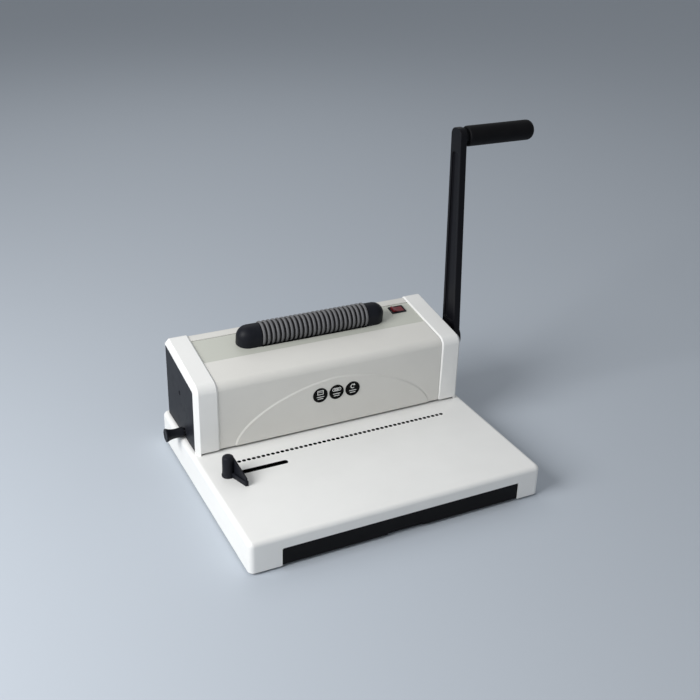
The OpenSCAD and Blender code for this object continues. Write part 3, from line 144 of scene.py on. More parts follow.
class FinishColours(PropertyGroup):
    """Colours of the finishes."""
    white: tint("White shell", "Moulded white plastic of the base and the end caps", (0.85, 0.85, 0.83))
    cover: tint("Cover", "Moulded warm white plastic of the body cover", (0.72, 0.71, 0.67))
    panel: tint("Top panel", "Warm light grey plastic", (0.56, 0.57, 0.51))
    black: tint("Black plastic", "Grained black plastic", (0.009, 0.010, 0.014))
    # The drawer's dark grey plastic, darkened further to paint the shade its front stands in
    drawer: tint("Drawer", "Very dark grey plastic", (0.005, 0.005, 0.006))
    lever: tint("Lever coat", "Black powder coat", (0.005, 0.005, 0.007))
    grip: tint("Grip", "Soft black grip", (0.004, 0.004, 0.005))
    ring: tint("Roller ribs", "Grey rubber", (0.15, 0.15, 0.157))
    rocker: tint("Rocker", "Dark red plastic", (0.17, 0.012, 0.018))
    ink: tint("Ink", "White print", (0.78, 0.78, 0.76))
    steel: tint("Steel", "Bare and plated steel", (0.52, 0.53, 0.55))
    bronze: tint("Bronze", "Sintered bronze", (0.50, 0.30, 0.12))
    floor: tint("Floor", "Pale floor", (0.50, 0.545, 0.60))


class Wire:
    """A shader socket. Sums and products of values add Math nodes."""

    def __init__(self, finish, socket):
        self.finish = finish
        self.socket = socket

    def maths(self, operation, first, second):
        return self.finish.node("ShaderNodeMath", {"operation": operation}, {0: first, 1: second})

    def __add__(self, other):
        return self.maths("ADD", self, other)

    def __radd__(self, other):
        return self.maths("ADD", other, self)

    def __sub__(self, other):
        return self.maths("SUBTRACT", self, other)

    def __rsub__(self, other):
        return self.maths("SUBTRACT", other, self)

    def __mul__(self, other):
        return self.maths("MULTIPLY", self, other)

    def __rmul__(self, other):
        return self.maths("MULTIPLY", other, self)


class Finish:
    """A node material round one Principled shader."""

    def __init__(self, name, colour, roughness, metallic=0.0, fixed=None):
        self.material = bpy.data.materials.new(name)
        self.material.use_nodes = True
        self.tree = self.material.node_tree
        self.tree.nodes.clear()
        self.colour = tuple(colour)
        shader = self.tree.nodes.new("ShaderNodeBsdfPrincipled")
        output = self.tree.nodes.new("ShaderNodeOutputMaterial")
        self.tree.links.new(shader.outputs[0], output.inputs["Surface"])
        self.shader = shader
        self.put("Base Color", (*self.colour, 1.0))
        self.put("Roughness", roughness)
        self.put("Metallic", metallic)
        for key, value in (fixed or {}).items():
            self.put(key, value)
        self.place = self.node("ShaderNodeTexCoord", {}, {}, "Object")
        self.material.diffuse_color = (*self.colour, 1.0)

    def put(self, key, value):
        socket = self.shader.inputs[key]
        if isinstance(value, Wire):
            self.tree.links.new(value.socket, socket)
        else:
            socket.default_value = value

    def node(self, kind, settings, sockets, output=0):
        """Adds one node: its settings first, then its sockets' values or links."""
        made = self.tree.nodes.new(kind)
        for key, value in settings.items():
            if key == "stops":
                for spot, (place, shade) in zip(made.color_ramp.elements, value):
                    spot.position = place
                    spot.color = (shade, shade, shade, 1.0)
            else:
                setattr(made, key, value)
        for key, value in sockets.items():
            if isinstance(value, Wire):
                self.tree.links.new(value.socket, made.inputs[key])
            else:
                made.inputs[key].default_value = value
        return Wire(self, made.outputs[output])

    def noise(self, scale, detail=2.0, rough=0.5, stretch=(1.0, 1.0, 1.0)):
        """Noise on the object's own place, in grains per metre."""
        place = self.place
        if stretch != (1.0, 1.0, 1.0):
            place = self.node("ShaderNodeMapping", {}, {"Vector": self.place, "Scale": stretch})
        sockets = {"Vector": place, "Scale": scale, "Detail": detail, "Roughness": rough}
        return self.node("ShaderNodeTexNoise", {}, sockets)

    def cells(self, scale):
        """Rounded cells, as in moulded grain."""
        sockets = {"Vector": self.place, "Scale": scale, "Smoothness": 0.6}
        return self.node("ShaderNodeTexVoronoi", {"feature": "SMOOTH_F1"}, sockets)

    def step(self, value, low, high):
        """Ramp from 0 at low to 1 at high."""
        return self.node("ShaderNodeValToRGB", {"stops": ((low, 0.0), (high, 1.0))}, {"Fac": value})

    def shade(self, factor, dark, light):
        """Colour between two multiples of the finish's own colour."""
        low = tuple(min(1.0, c * dark) for c in self.colour)
        high = tuple(min(1.0, c * light) for c in self.colour)
        return self.mix(factor, (*low, 1.0), (*high, 1.0))

    def mix(self, factor, first, second):
        return self.node("ShaderNodeMix", {"data_type": "RGBA"}, {0: factor, 6: first, 7: second}, 2)

    def bump(self, height, strength, depth):
        self.put("Normal", self.node("ShaderNodeBump", {}, {"Height": height, "Strength": strength, "Distance": depth}))


def moulded(name, colour, roughness, grain, depth, scuff=0.05, cloud=(0.965, 1.025)):
    """Moulded plastic: fine grain, cloudy tone, dusty patches and a few long scuffs."""
    finish = Finish(name, colour, roughness, fixed={"Specular IOR Level": 0.42})
    cloudy = finish.noise(26.0, 3.0)
    fine = finish.cells(grain)
    dust = finish.noise(95.0, 4.0, 0.6)
    lines = finish.step(finish.noise(34.0, 5.0, 0.62, (1.0, 26.0, 26.0)), 0.66, 0.78)
    tone = finish.shade(cloudy, *cloud)
    finish.put("Base Color", finish.mix(lines * scuff, tone, (0.42, 0.42, 0.40, 1.0)))
    finish.put("Roughness", roughness - 0.05 + 0.07 * cloudy + 0.06 * dust - 0.10 * lines)
    finish.bump(fine + 0.25 * dust, 0.35, depth)
    return finish


def grained_black(name, colour, roughness, grain, depth, shine=0.3, dusty=0.035):
    """Black plastic with a moulded grain and grey dust in its hollows."""
    finish = Finish(name, colour, roughness, fixed={"Specular IOR Level": shine})
    fine = finish.cells(grain)
    cloudy = finish.noise(34.0, 3.0)
    dust = finish.step(finish.noise(70.0, 6.0, 0.65), 0.52, 0.80)
    tone = finish.shade(cloudy, 0.85, 1.18)
    finish.put("Base Color", finish.mix(dust * dusty, tone, (0.30, 0.29, 0.27, 1.0)))
    finish.put("Roughness", roughness - 0.04 + 0.08 * cloudy + 0.10 * dust)
    finish.bump(fine, 0.45, depth)
    return finish


def powder_coat(name, colour):
    """Black powder coat with orange peel and small worn specks."""
    finish = Finish(name, colour, 0.36, fixed={"Specular IOR Level": 0.16})
    peel = finish.noise(620.0, 2.0)
    cloudy = finish.noise(22.0, 3.0)
    worn = finish.step(finish.noise(240.0, 7.0, 0.7), 0.68, 0.74)
    finish.put("Base Color", finish.mix(worn * 0.25, finish.shade(cloudy, 0.85, 1.2), (0.06, 0.06, 0.06, 1.0)))
    finish.put("Roughness", 0.31 + 0.12 * cloudy + 0.06 * peel)
    finish.bump(peel, 0.5, 0.00012)
    return finish


def rubber(name, colour, roughness=0.68, dusty=0.14, shine=0.3):
    """Matt rubber, lighter where dust and handling have dulled it."""
    finish = Finish(name, colour, roughness, fixed={"Specular IOR Level": shine})
    fine = finish.noise(1500.0, 3.0)
    rubbed = finish.step(finish.noise(60.0, 5.0, 0.6), 0.40, 0.80)
    finish.put("Base Color", finish.mix(rubbed * dusty, finish.shade(fine, 0.9, 1.1), (0.24, 0.235, 0.225, 1.0)))
    finish.put("Roughness", roughness - 0.06 + 0.16 * rubbed)
    finish.bump(fine, 0.4, 0.00010)
    return finish


def steel(name, colour, roughness, stretch, lines=420.0):
    """Steel with drawn or turned lines and a little tarnish."""
    finish = Finish(name, colour, roughness, 1.0)
    drawn = finish.noise(lines, 4.0, 0.6, stretch)
    tarnish = finish.step(finish.noise(48.0, 6.0, 0.6), 0.45, 0.85)
    finish.put("Base Color", finish.mix(tarnish * 0.35, finish.shade(drawn, 0.88, 1.08), (0.20, 0.17, 0.14, 1.0)))
    finish.put("Roughness", roughness - 0.08 + 0.14 * drawn + 0.12 * tarnish)
    finish.bump(drawn, 0.25, 0.00005)
    return finish


def glossy(name, colour, roughness):
    """Smooth glossy plastic with fine swirls and finger marks."""
    finish = Finish(name, colour, roughness, fixed={"Coat Weight": 0.25, "Coat Roughness": 0.12})
    smear = finish.step(finish.noise(120.0, 5.0, 0.65), 0.45, 0.75)
    flow = finish.noise(55.0, 3.0, 0.5, (1.0, 3.0, 1.0))
    finish.put("Base Color", finish.shade(flow, 0.86, 1.14))
    finish.put("Roughness", roughness + 0.16 * smear)
    finish.bump(flow, 0.1, 0.00008)
    return finish


def printed(name, colour):
    """Printed ink, slightly uneven and thin in places."""
    finish = Finish(name, colour, 0.5)
    thin = finish.noise(900.0, 3.0)
    finish.put("Base Color", finish.shade(thin, 0.86, 1.05))
    finish.put("Roughness", 0.45 + 0.15 * thin)
    return finish


def pale_floor(name, colour):
    """Plain pale floor with an even, matt surface."""
    finish = Finish(name, colour, 0.9, fixed={"Specular IOR Level": 0.1})
    finish.put("Roughness", 0.86 + 0.08 * finish.noise(6.0))
    return finish


FINISHES = {}


def make_finishes(colours):
    """Makes every finish once, by the record's slot names and a few more."""
    c = colours
    along = (0.04, 1.0, 1.0)
    around = (1.0, 0.05, 0.05)
    FINISHES.update({
        "shell_white": moulded("white_shell", c.white, 0.44, 1150.0, 0.00005),
        "cover_white": moulded("cover_white", c.cover, 0.42, 1150.0, 0.00005),
        "panel_grey": moulded("grey_panel", c.panel, 0.50, 900.0, 0.00007, 0.04),
        "black_plastic": grained_black("black_grain", c.black, 0.46, 820.0, 0.00012, 0.15, 0.018),
        # Drawer colour: dark grey plastic plus painted shade on its front
        "drawer_grey": grained_black("drawer_grain_painted_shade", c.drawer, 0.52, 700.0, 0.00012, 0.12, 0.012),
        "badge_black": grained_black("badge_black", (0.003, 0.003, 0.003), 0.5, 1200.0, 0.00003, 0.08, 0.006),
        "lever_paint": powder_coat("lever_coat", c.lever),
        "grip_rubber": rubber("grip_rubber", c.grip, 0.58, 0.010, 0.12),
        "ring_rubber": rubber("rib_rubber", c.ring, 0.62, 0.16),
        # Near-black for the liners that paint the shade inside the table's holes and slot
        "painted_hole_shade": grained_black("painted_hole_shade", (0.002, 0.002, 0.002), 0.6, 900.0, 0.00005, 0.05, 0.0),
        "sleeve_dark": grained_black("sleeve_black", (0.006, 0.006, 0.007), 0.5, 900.0, 0.00008),
        "foot_rubber": rubber("foot_rubber", (0.04, 0.04, 0.04), 0.75, 0.2),
        "belt_rubber": rubber("belt_rubber", (0.02, 0.02, 0.02), 0.6, 0.1),
        "wire_sleeve": glossy("wire_sleeve", (0.20, 0.02, 0.02), 0.38),
        "rocker_red": glossy("rocker_red", c.rocker, 0.26),
        "frame_steel": steel("zinc_sheet", c.steel, 0.38, along),
        "tool_steel": steel("ground_steel", (0.40, 0.41, 0.43), 0.32, along, 700.0),
        "shaft_steel": steel("turned_steel", (0.60, 0.61, 0.63), 0.24, around, 900.0),
        "fastener_zinc": steel("zinc_screw", (0.48, 0.48, 0.50), 0.36, (1.0, 1.0, 1.0), 800.0),
        "bush_bronze": steel("bush_bronze", c.bronze, 0.42, around, 500.0),
        "motor_case": steel("motor_can", (0.34, 0.35, 0.37), 0.42, along, 300.0),
        "pulley_nylon": moulded("pulley_nylon", (0.62, 0.60, 0.50), 0.45, 900.0, 0.00006),
        "ink": printed("white_print", c.ink),
        "floor": pale_floor("pale_floor", c.floor),
    })


# Mesh helpers

def at(x, y, z):
    """A point by millimetres from the table's middle, with Z from the desk."""
    return Vector((TABLE_X + x * MM, y * MM, z * MM))


def box(bm, low, high):
    """Adds a box between two corners."""
    matrix = Matrix.Translation((low + high) / 2) @ Matrix.Diagonal((*(high - low), 1.0))
    bmesh.ops.create_cube(bm, size=1.0, matrix=matrix)


def round_edges(bm, edges, radius, steps):
    """Rounds edges to a radius, measured along the faces."""
    bmesh.ops.bevel(bm, geom=list(edges), offset=radius, offset_type="OFFSET", affect="EDGES", segments=steps,
                    profile=0.5, material=-1, clamp_overlap=True)
    bm.normal_update()


def same(a, b):
    """Whether two measures mark the same place."""
    return abs(a - b) < TOUCH


def points_of(made):
    """The vertices in an operator's result."""
    return [v for v in made["geom"] if isinstance(v, bmesh.types.BMVert)]


def pulled(bm, edges, travel):
    """Pulls edges along a direction into new faces."""
    bmesh.ops.translate(bm, verts=points_of(bmesh.ops.extrude_edge_only(bm, edges=edges)), vec=travel)


def cut(bm, faces, place, normal):
    """Cuts faces along a plane."""
    geom = faces + list({e for f in faces for e in f.edges})
    bmesh.ops.bisect_plane(bm, geom=geom, plane_co=place, plane_no=normal, dist=MERGE)


def prism(bm, points, travel):
    """Adds a prism on an outline of points."""
    face = bm.faces.new([bm.verts.new(p) for p in points])
    bmesh.ops.translate(bm, verts=points_of(bmesh.ops.extrude_face_region(bm, geom=[face])), vec=travel)


def chain(bm, points):
    """Adds a row of edges through points and returns vertices and edges."""
    verts = [bm.verts.new(p) for p in points]
    return verts, [bm.edges.new(pair) for pair in zip(verts, verts[1:])]


def turned(bm, profile, centre, axis, steps):
    """Turns a profile of (place along the axis, radius) pairs into a solid of revolution."""
    axis = Vector(axis).normalized()
    side = axis.orthogonal().normalized()
    verts, edges = chain(bm, [centre + axis * (t * MM) + side * (r * MM) for t, r in profile])
    bmesh.ops.spin(bm, geom=verts + edges, cent=centre, axis=axis, angle=math.tau, steps=steps, use_merge=True)
    bmesh.ops.remove_doubles(bm, verts=bm.verts[:], dist=MERGE)


def swept(bm, points, travel):
    """Adds a strip: a row of edges pulled along a direction."""
    pulled(bm, chain(bm, points)[1], travel)


def edges_where(bm, test):
    """Edges whose two ends both pass a test."""
    return [e for e in bm.edges if test(e.verts[0].co) and test(e.verts[1].co)]


def soften(piece, width, steps=2, angle=38.0):
    """Rounds a piece's sharp edges and evens out its shading."""
    if width:
        bevel = piece.modifiers.new("soft_edges", "BEVEL")
        bevel.width = width
        bevel.segments = steps
        bevel.limit_method = "ANGLE"
        bevel.angle_limit = math.radians(angle)
        bevel.use_clamp_overlap = True
    shading = piece.modifiers.new("even_shading", "WEIGHTED_NORMAL")
    shading.keep_sharp = True
    shading.weight = 60


def make_piece(name, bm, finish, body, nodes=(), wall=0.0, edge=0.0, steps=2, sharp=38.0, slot=None, even=True):
    """Turns a bmesh into a finished piece that rides on a body and stands for CAD nodes."""
    bmesh.ops.remove_doubles(bm, verts=bm.verts[:], dist=2e-7)
    bmesh.ops.recalc_face_normals(bm, faces=bm.faces[:])
    for face in bm.faces:
        face.smooth = True
    if not edge:
        for side in bm.edges:
            side.smooth = side.calc_face_angle(0.0) < math.radians(sharp)
    mesh = bpy.data.meshes.new(name)
    bm.to_mesh(mesh)
    bm.free()
    mesh.materials.append(FINISHES[finish].material)
    piece = bpy.data.objects.new(name, mesh)
    bpy.context.scene.collection.objects.link(piece)
    if wall:
        thick = piece.modifiers.new("wall", "SOLIDIFY")
        thick.thickness = wall
        thick.offset = -1.0
        thick.use_even_offset = even
        thick.use_quality_normals = True
    soften(piece, edge, steps, sharp)
    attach(piece, body)
    if nodes:
        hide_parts(*nodes)
    slot = slot or finish


def top_slope(shell):
    """Angle of the body's top."""
    return math.atan2(shell.rise, BODY_REAR - BODY_FRONT)


def on_top(shell, x, v, w):
    """A point on the slanted top: v back from the front edge, w up from the end caps' top, in millimetres."""
    s, c = math.sin(top_slope(shell)), math.cos(top_slope(shell))
    y = BODY_FRONT / MM + v * c - w * s
    z = shell.front_height / MM + v * s + w * c
    return at(x, y, z)


def top_line(shell, y, inset):
    """Height of the body's top at a depth, less an inset, in millimetres."""
    slope = top_slope(shell)
    return shell.front_height / MM + (y - BODY_FRONT / MM) * math.tan(slope) - inset / math.cos(slope)


def round_fold(bm, shell, corner, radius, front, steps):
    """Rounds the edge that runs across the machine through a front or rear corner of the body's top."""
    turn = math.pi / 2 + (top_slope(shell) if front else -top_slope(shell))
    fold = edges_where(bm, lambda p: same(p.y, corner.y) and same(p.z, corner.z))
    round_edges(bm, fold, radius / math.tan(turn / 2), steps)


def hole_places(table, top):
    """Middles of the gauge holes at the table's top."""
    first = -(table.holes - 1) / 2
    return [Vector((TABLE_X + (first + i) * table.pitch, table.row_y, top)) for i in range(table.holes)]


def stretch_slot(bm, table, verts):
    """Pulls the right half of a round hole to the slot's other end."""
    far = [v for v in verts if v.co.x > TABLE_X + table.slot_from + TOUCH]
    bmesh.ops.translate(bm, verts=far, vec=(table.slot_to - table.slot_from, 0.0, 0.0))


class BINDER_OT_base(Operator):
    """Base cover with the table's holes, the guide slot and the drawer opening"""
    bl_idname = "binder.base"
    bl_label = "Base Cover"

    def execute(self, context):
        shell, table = context.scene.binder_shell, context.scene.binder_table
        low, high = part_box("base_cover")
        bm = bmesh.new()
        box(bm, low, high)
        round_edges(bm, [e for e in bm.edges if abs(e.verts[0].co.z - e.verts[1].co.z) > MM], shell.corner, 8)
        round_edges(bm, edges_where(bm, lambda p: p.z > high.z - TOUCH), shell.table_edge, 8)
        under = [f for f in bm.faces if f.normal.z < -0.99]
        bmesh.ops.delete(bm, geom=under, context="FACES_ONLY")
        self.open_front(bm, shell, low.y)
        self.pierce_table(bm, table, high.z)
        make_piece("base_shell", bm, "shell_white", "machine", ["base_cover"], wall=shell.wall, edge=0.0004, sharp=40.0)
        self.bosses()
        # Black liners paint the shade inside the gauge holes and the guide slot
        self.painted_shade_liners(table, high.z)
        return {"FINISHED"}

    def open_front(self, bm, shell, front):
        """Cuts the drawer opening, with round upper corners, into the front wall."""
        radius, steps = 0.0018, 6
        middle, level = TABLE_X + shell.drawer_shift, shell.drawer_top - radius

        def between(face):
            return abs(face.calc_center_median().x - middle) < shell.drawer_half

        for side in (-1.0, 1.0, 0.0):
            wall = [f for f in bm.faces if f.normal.y < -0.99 and f.calc_area() > 1e-4]
            if side:
                cut(bm, wall, Vector((middle + side * shell.drawer_half, front, 0.0)), (1.0, 0.0, 0.0))
            else:
                cut(bm, [f for f in wall if between(f)], Vector((middle, front, level)), (0.0, 0.0, 1.0))
        inside = [f for f in bm.faces if f.normal.y < -0.99 and between(f) and f.calc_center_median().z < level]
        bmesh.ops.delete(bm, geom=inside, context="FACES")
        lintel = [e for e in edges_where(bm, lambda p: same(p.z, level) and p.y < front + TOUCH)
                  if e.calc_length() > shell.drawer_half]
        if len(lintel) != 1:
            raise RuntimeError("the drawer opening's upper edge was not found")
        ends = sorted(v.co.x for v in lintel[0].verts)
        made = bmesh.ops.subdivide_edges(bm, edges=lintel, cuts=2 * steps)["geom_inner"]
        row = sorted((v for v in made if isinstance(v, bmesh.types.BMVert)), key=lambda v: v.co.x)
        for i, vert in enumerate(row):
            left = i < steps
            turn = math.radians(90.0 * ((i + 1) if left else (2 * steps - i)) / steps)
            inward = radius * (1 - math.cos(turn))
            vert.co.x = ends[0] + inward if left else ends[1] - inward
            vert.co.z = level + radius * math.sin(turn)

    def pierce_table(self, bm, table, top):
        """Fills the table's face again round its holes, its slot and the well under the body."""
        face = max((f for f in bm.faces if f.normal.z > 0.99), key=lambda f: f.calc_area())
        rim = list(face.edges)
        bmesh.ops.delete(bm, geom=[face], context="FACES_ONLY")
        for place in hole_places(table, top):
            ring = bmesh.ops.create_circle(bm, segments=16, radius=table.hole / 2, matrix=Matrix.Translation(place))
            rim += {e for v in ring["verts"] for e in v.link_edges}
        place = Vector((TABLE_X + table.slot_from, table.slot_y, top))
        ring = bmesh.ops.create_circle(bm, segments=24, radius=table.slot_width / 2, matrix=Matrix.Translation(place))
        stretch_slot(bm, table, ring["verts"])
        rim += {e for v in ring["verts"] for e in v.link_edges}
        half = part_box("right_frame")[1].x - TABLE_X
        front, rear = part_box("die_plate")[0].y - 0.0003, BODY_REAR - 0.0075
        well = [bm.verts.new((TABLE_X + x, y, top)) for x, y in
                ((-half, front), (half, front), (half, rear), (-half, rear))]
        rim += [bm.edges.new((a, b)) for a, b in zip(well, well[1:] + well[:1])]
        rim = list(dict.fromkeys(rim))
        made = bmesh.ops.triangle_fill(bm, use_beauty=True, use_dissolve=False, edges=rim,
                                       normal=(0.0, 0.0, 1.0))["geom"]
        inner = {e for f in made if isinstance(f, bmesh.types.BMFace) for e in f.edges} - set(rim)
        if any(len(e.link_faces) != 2 for e in inner):
            raise RuntimeError("the table's face was not filled")

    def painted_shade_liners(self, table, top):
        """Thin black sleeves with a flat lip in the gauge holes and in the guide slot; their black paints the shade
        inside the holes and the slot.
        """
        bm = bmesh.new()
        for place in hole_places(table, top):
            self.shade_sleeve(bm, table.hole, place, 16, 0.55)
        slot = bmesh.new()
        self.shade_sleeve(slot, table.slot_width, Vector((TABLE_X + table.slot_from, table.slot_y, top)), 24, 0.7)
        stretch_slot(slot, table, slot.verts)
        make_piece("painted_hole_shade_liners", bm, "painted_hole_shade", "machine", sharp=35.0)
        make_piece("painted_slot_shade_liner", slot, "painted_hole_shade", "machine", sharp=35.0)

    def shade_sleeve(self, bm, bore, place, steps, lip):
        """A thin tube just inside a bore, hung by its lip from a place at the table's top; its black paints the shade
        inside the bore.
        """
        r, depth, proud = bore / 2 / MM, 2.4, 0.05
        turned(bm, [(-proud, r - 0.3), (depth, r - 0.3), (depth, r - 0.04), (0.5, r - 0.04), (0.02, r + lip),
                    (-proud, r + lip - 0.05), (-proud, r - 0.3)], place, (0.0, 0.0, -1.0), steps)

    def bosses(self):
        """Screw posts between the bottom plate and the table."""
        low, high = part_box("base_screws")
        bm = bmesh.new()
        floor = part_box("base_plate")[1].z
        head, bore, r, tall = 0.003, 1.6, 4.5, 34.3
        for x in (low.x + head, high.x - head):
            for y in (low.y + head, POST_ROW_Y, high.y - head):
                turned(bm, [(0.0, bore), (0.0, r), (28.0, r), (tall, r), (tall, bore), (0.0, bore)],
                       Vector((x, y, floor)), (0.0, 0.0, 1.0), 24)
        make_piece("base_posts", bm, "shell_white", "machine", sharp=40.0)


class BINDER_OT_body(Operator):
    """Body cover between the end caps, with the raised arch and the recess for the top panel"""
    bl_idname = "binder.body"
    bl_label = "Body Cover"

    seat_depth = 2.8
    seat_from, seat_to = 50.4, 99.7
    window_from, window_to = 58.4, 91.8
    window_left, window_right = -110.0, 146.0

    def execute(self, context):
        shell = context.scene.binder_shell
        bm = bmesh.new()
        half = SEAM_X / MM
        inset = shell.proud / MM
        front = BODY_FRONT / MM + inset
        rear = BODY_REAR / MM - inset
        bottom = (TABLE_Z + shell.throat) / MM
        seat = -inset - self.seat_depth
        low_edge = (shell.front_height + shell.rise) / MM - 10.0
        travel = Vector((2 * SEAM_X, 0.0, 0.0))
        corner = at(-half, front, top_line(shell, front, inset))
        swept(bm, [at(-half, front, bottom), corner, on_top(shell, -half, self.seat_from, -inset),
                   on_top(shell, -half, self.seat_from, seat), on_top(shell, -half, self.window_from, seat)], travel)
        back = at(-half, rear, top_line(shell, rear, inset))
        swept(bm, [on_top(shell, -half, self.window_to, seat), on_top(shell, -half, self.seat_to, seat),
                   on_top(shell, -half, self.seat_to, -inset), back, at(-half, rear, low_edge)], travel)
        for x in (self.window_left, self.window_right):
            ledges = [f for f in bm.faces if abs(f.calc_center_median().z - self.seat_height(shell, f, seat)) < 1e-4]
            edges = list({e for f in ledges for e in f.edges if e.is_boundary})
            bmesh.ops.bisect_plane(bm, geom=ledges + edges, plane_co=at(x, 0, 0), plane_no=(1.0, 0.0, 0.0), dist=MERGE)
        near, far = on_top(shell, 0, self.seat_from + 4.6, 0).y, on_top(shell, 0, self.seat_to - 2.7, 0).y
        for low_x, high_x in ((-half, self.window_left), (self.window_right, half)):
            pair = [e for e in bm.edges if e.is_boundary and near < e.verts[0].co.y < far
                    and abs(min(v.co.x for v in e.verts) - at(low_x, 0, 0).x) < 1e-5
                    and abs(max(v.co.x for v in e.verts) - at(high_x, 0, 0).x) < 1e-5]
            if len(pair) != 2:
                raise RuntimeError("the panel seat's edges were not found")
            bmesh.ops.bridge_loops(bm, edges=pair)
        round_fold(bm, shell, corner, shell.front_round - shell.proud, True, 10)
        round_fold(bm, shell, back, shell.rear_round - shell.proud, False, 6)
        self.raise_arch(bm, shell, front, bottom)
        make_piece("body_shell", bm, "cover_white", "machine", ["body_cover"], wall=shell.wall, edge=0.0005, steps=3,
                   sharp=40.0, slot="shell_white")
        return {"FINISHED"}

    def seat_height(self, shell, face, seat):
        """Height of the panel seat under a face's middle, in metres."""
        y = face.calc_center_median().y
        slope = top_slope(shell)
        return shell.front_height + (y - BODY_FRONT) * math.tan(slope) + seat * MM / math.cos(slope)

    def raise_arch(self, bm, shell, front, bottom):
        """Draws the arch, half of a pointed oval, on the front face and raises it."""
        steps, middle, power = 60, 2.5, 2 / 1.68
        wide, tall = shell.arch_half / MM, shell.arch_height / MM
        foot = at(middle, front, bottom)
        for side in (-1.0, 1.0):
            wall = [f for f in bm.faces if abs(f.normal.y) > 0.999 and same(f.calc_center_median().y, foot.y)]
            cut(bm, wall, at(middle + side * wide, 0, 0), (1.0, 0.0, 0.0))
        sill = [e for e in edges_where(bm, lambda p: same(p.z, foot.z) and same(p.y, foot.y))
                if abs((e.verts[0].co.x + e.verts[1].co.x) / 2 - foot.x) < 0.01]
        if len(sill) != 1:
            raise RuntimeError("the arch's foot was not found")
        bmesh.ops.subdivide_edges(bm, edges=sill, cuts=steps - 1)
        row = [v for v in bm.verts if same(v.co.z, foot.z) and same(v.co.y, foot.y)
               and abs(v.co.x - foot.x) < shell.arch_half + 1e-5]
        row.sort(key=lambda v: v.co.x)
        for i, vert in enumerate(row):
            a = math.pi * (1 - i / steps)
            c, s = math.cos(a), max(0.0, math.sin(a))
            vert.co.x = at(middle + math.copysign(wide * abs(c) ** power, c), 0, 0).x
            vert.co.z = at(0, 0, bottom + tall * abs(s) ** power).z
        plateau = bm.faces.new(row)
        plateau.normal_update()
        if plateau.normal.y > 0.0:
            plateau.normal_flip()
        slope = bmesh.ops.inset_region(bm, faces=[plateau], thickness=shell.arch_edge, depth=shell.arch_relief,
                                       use_even_offset=True, use_boundary=False)["faces"]
        for edge in {e for f in slope for e in f.edges}:
            edge.smooth = edge.calc_face_angle(0.0) < math.radians(15.0)


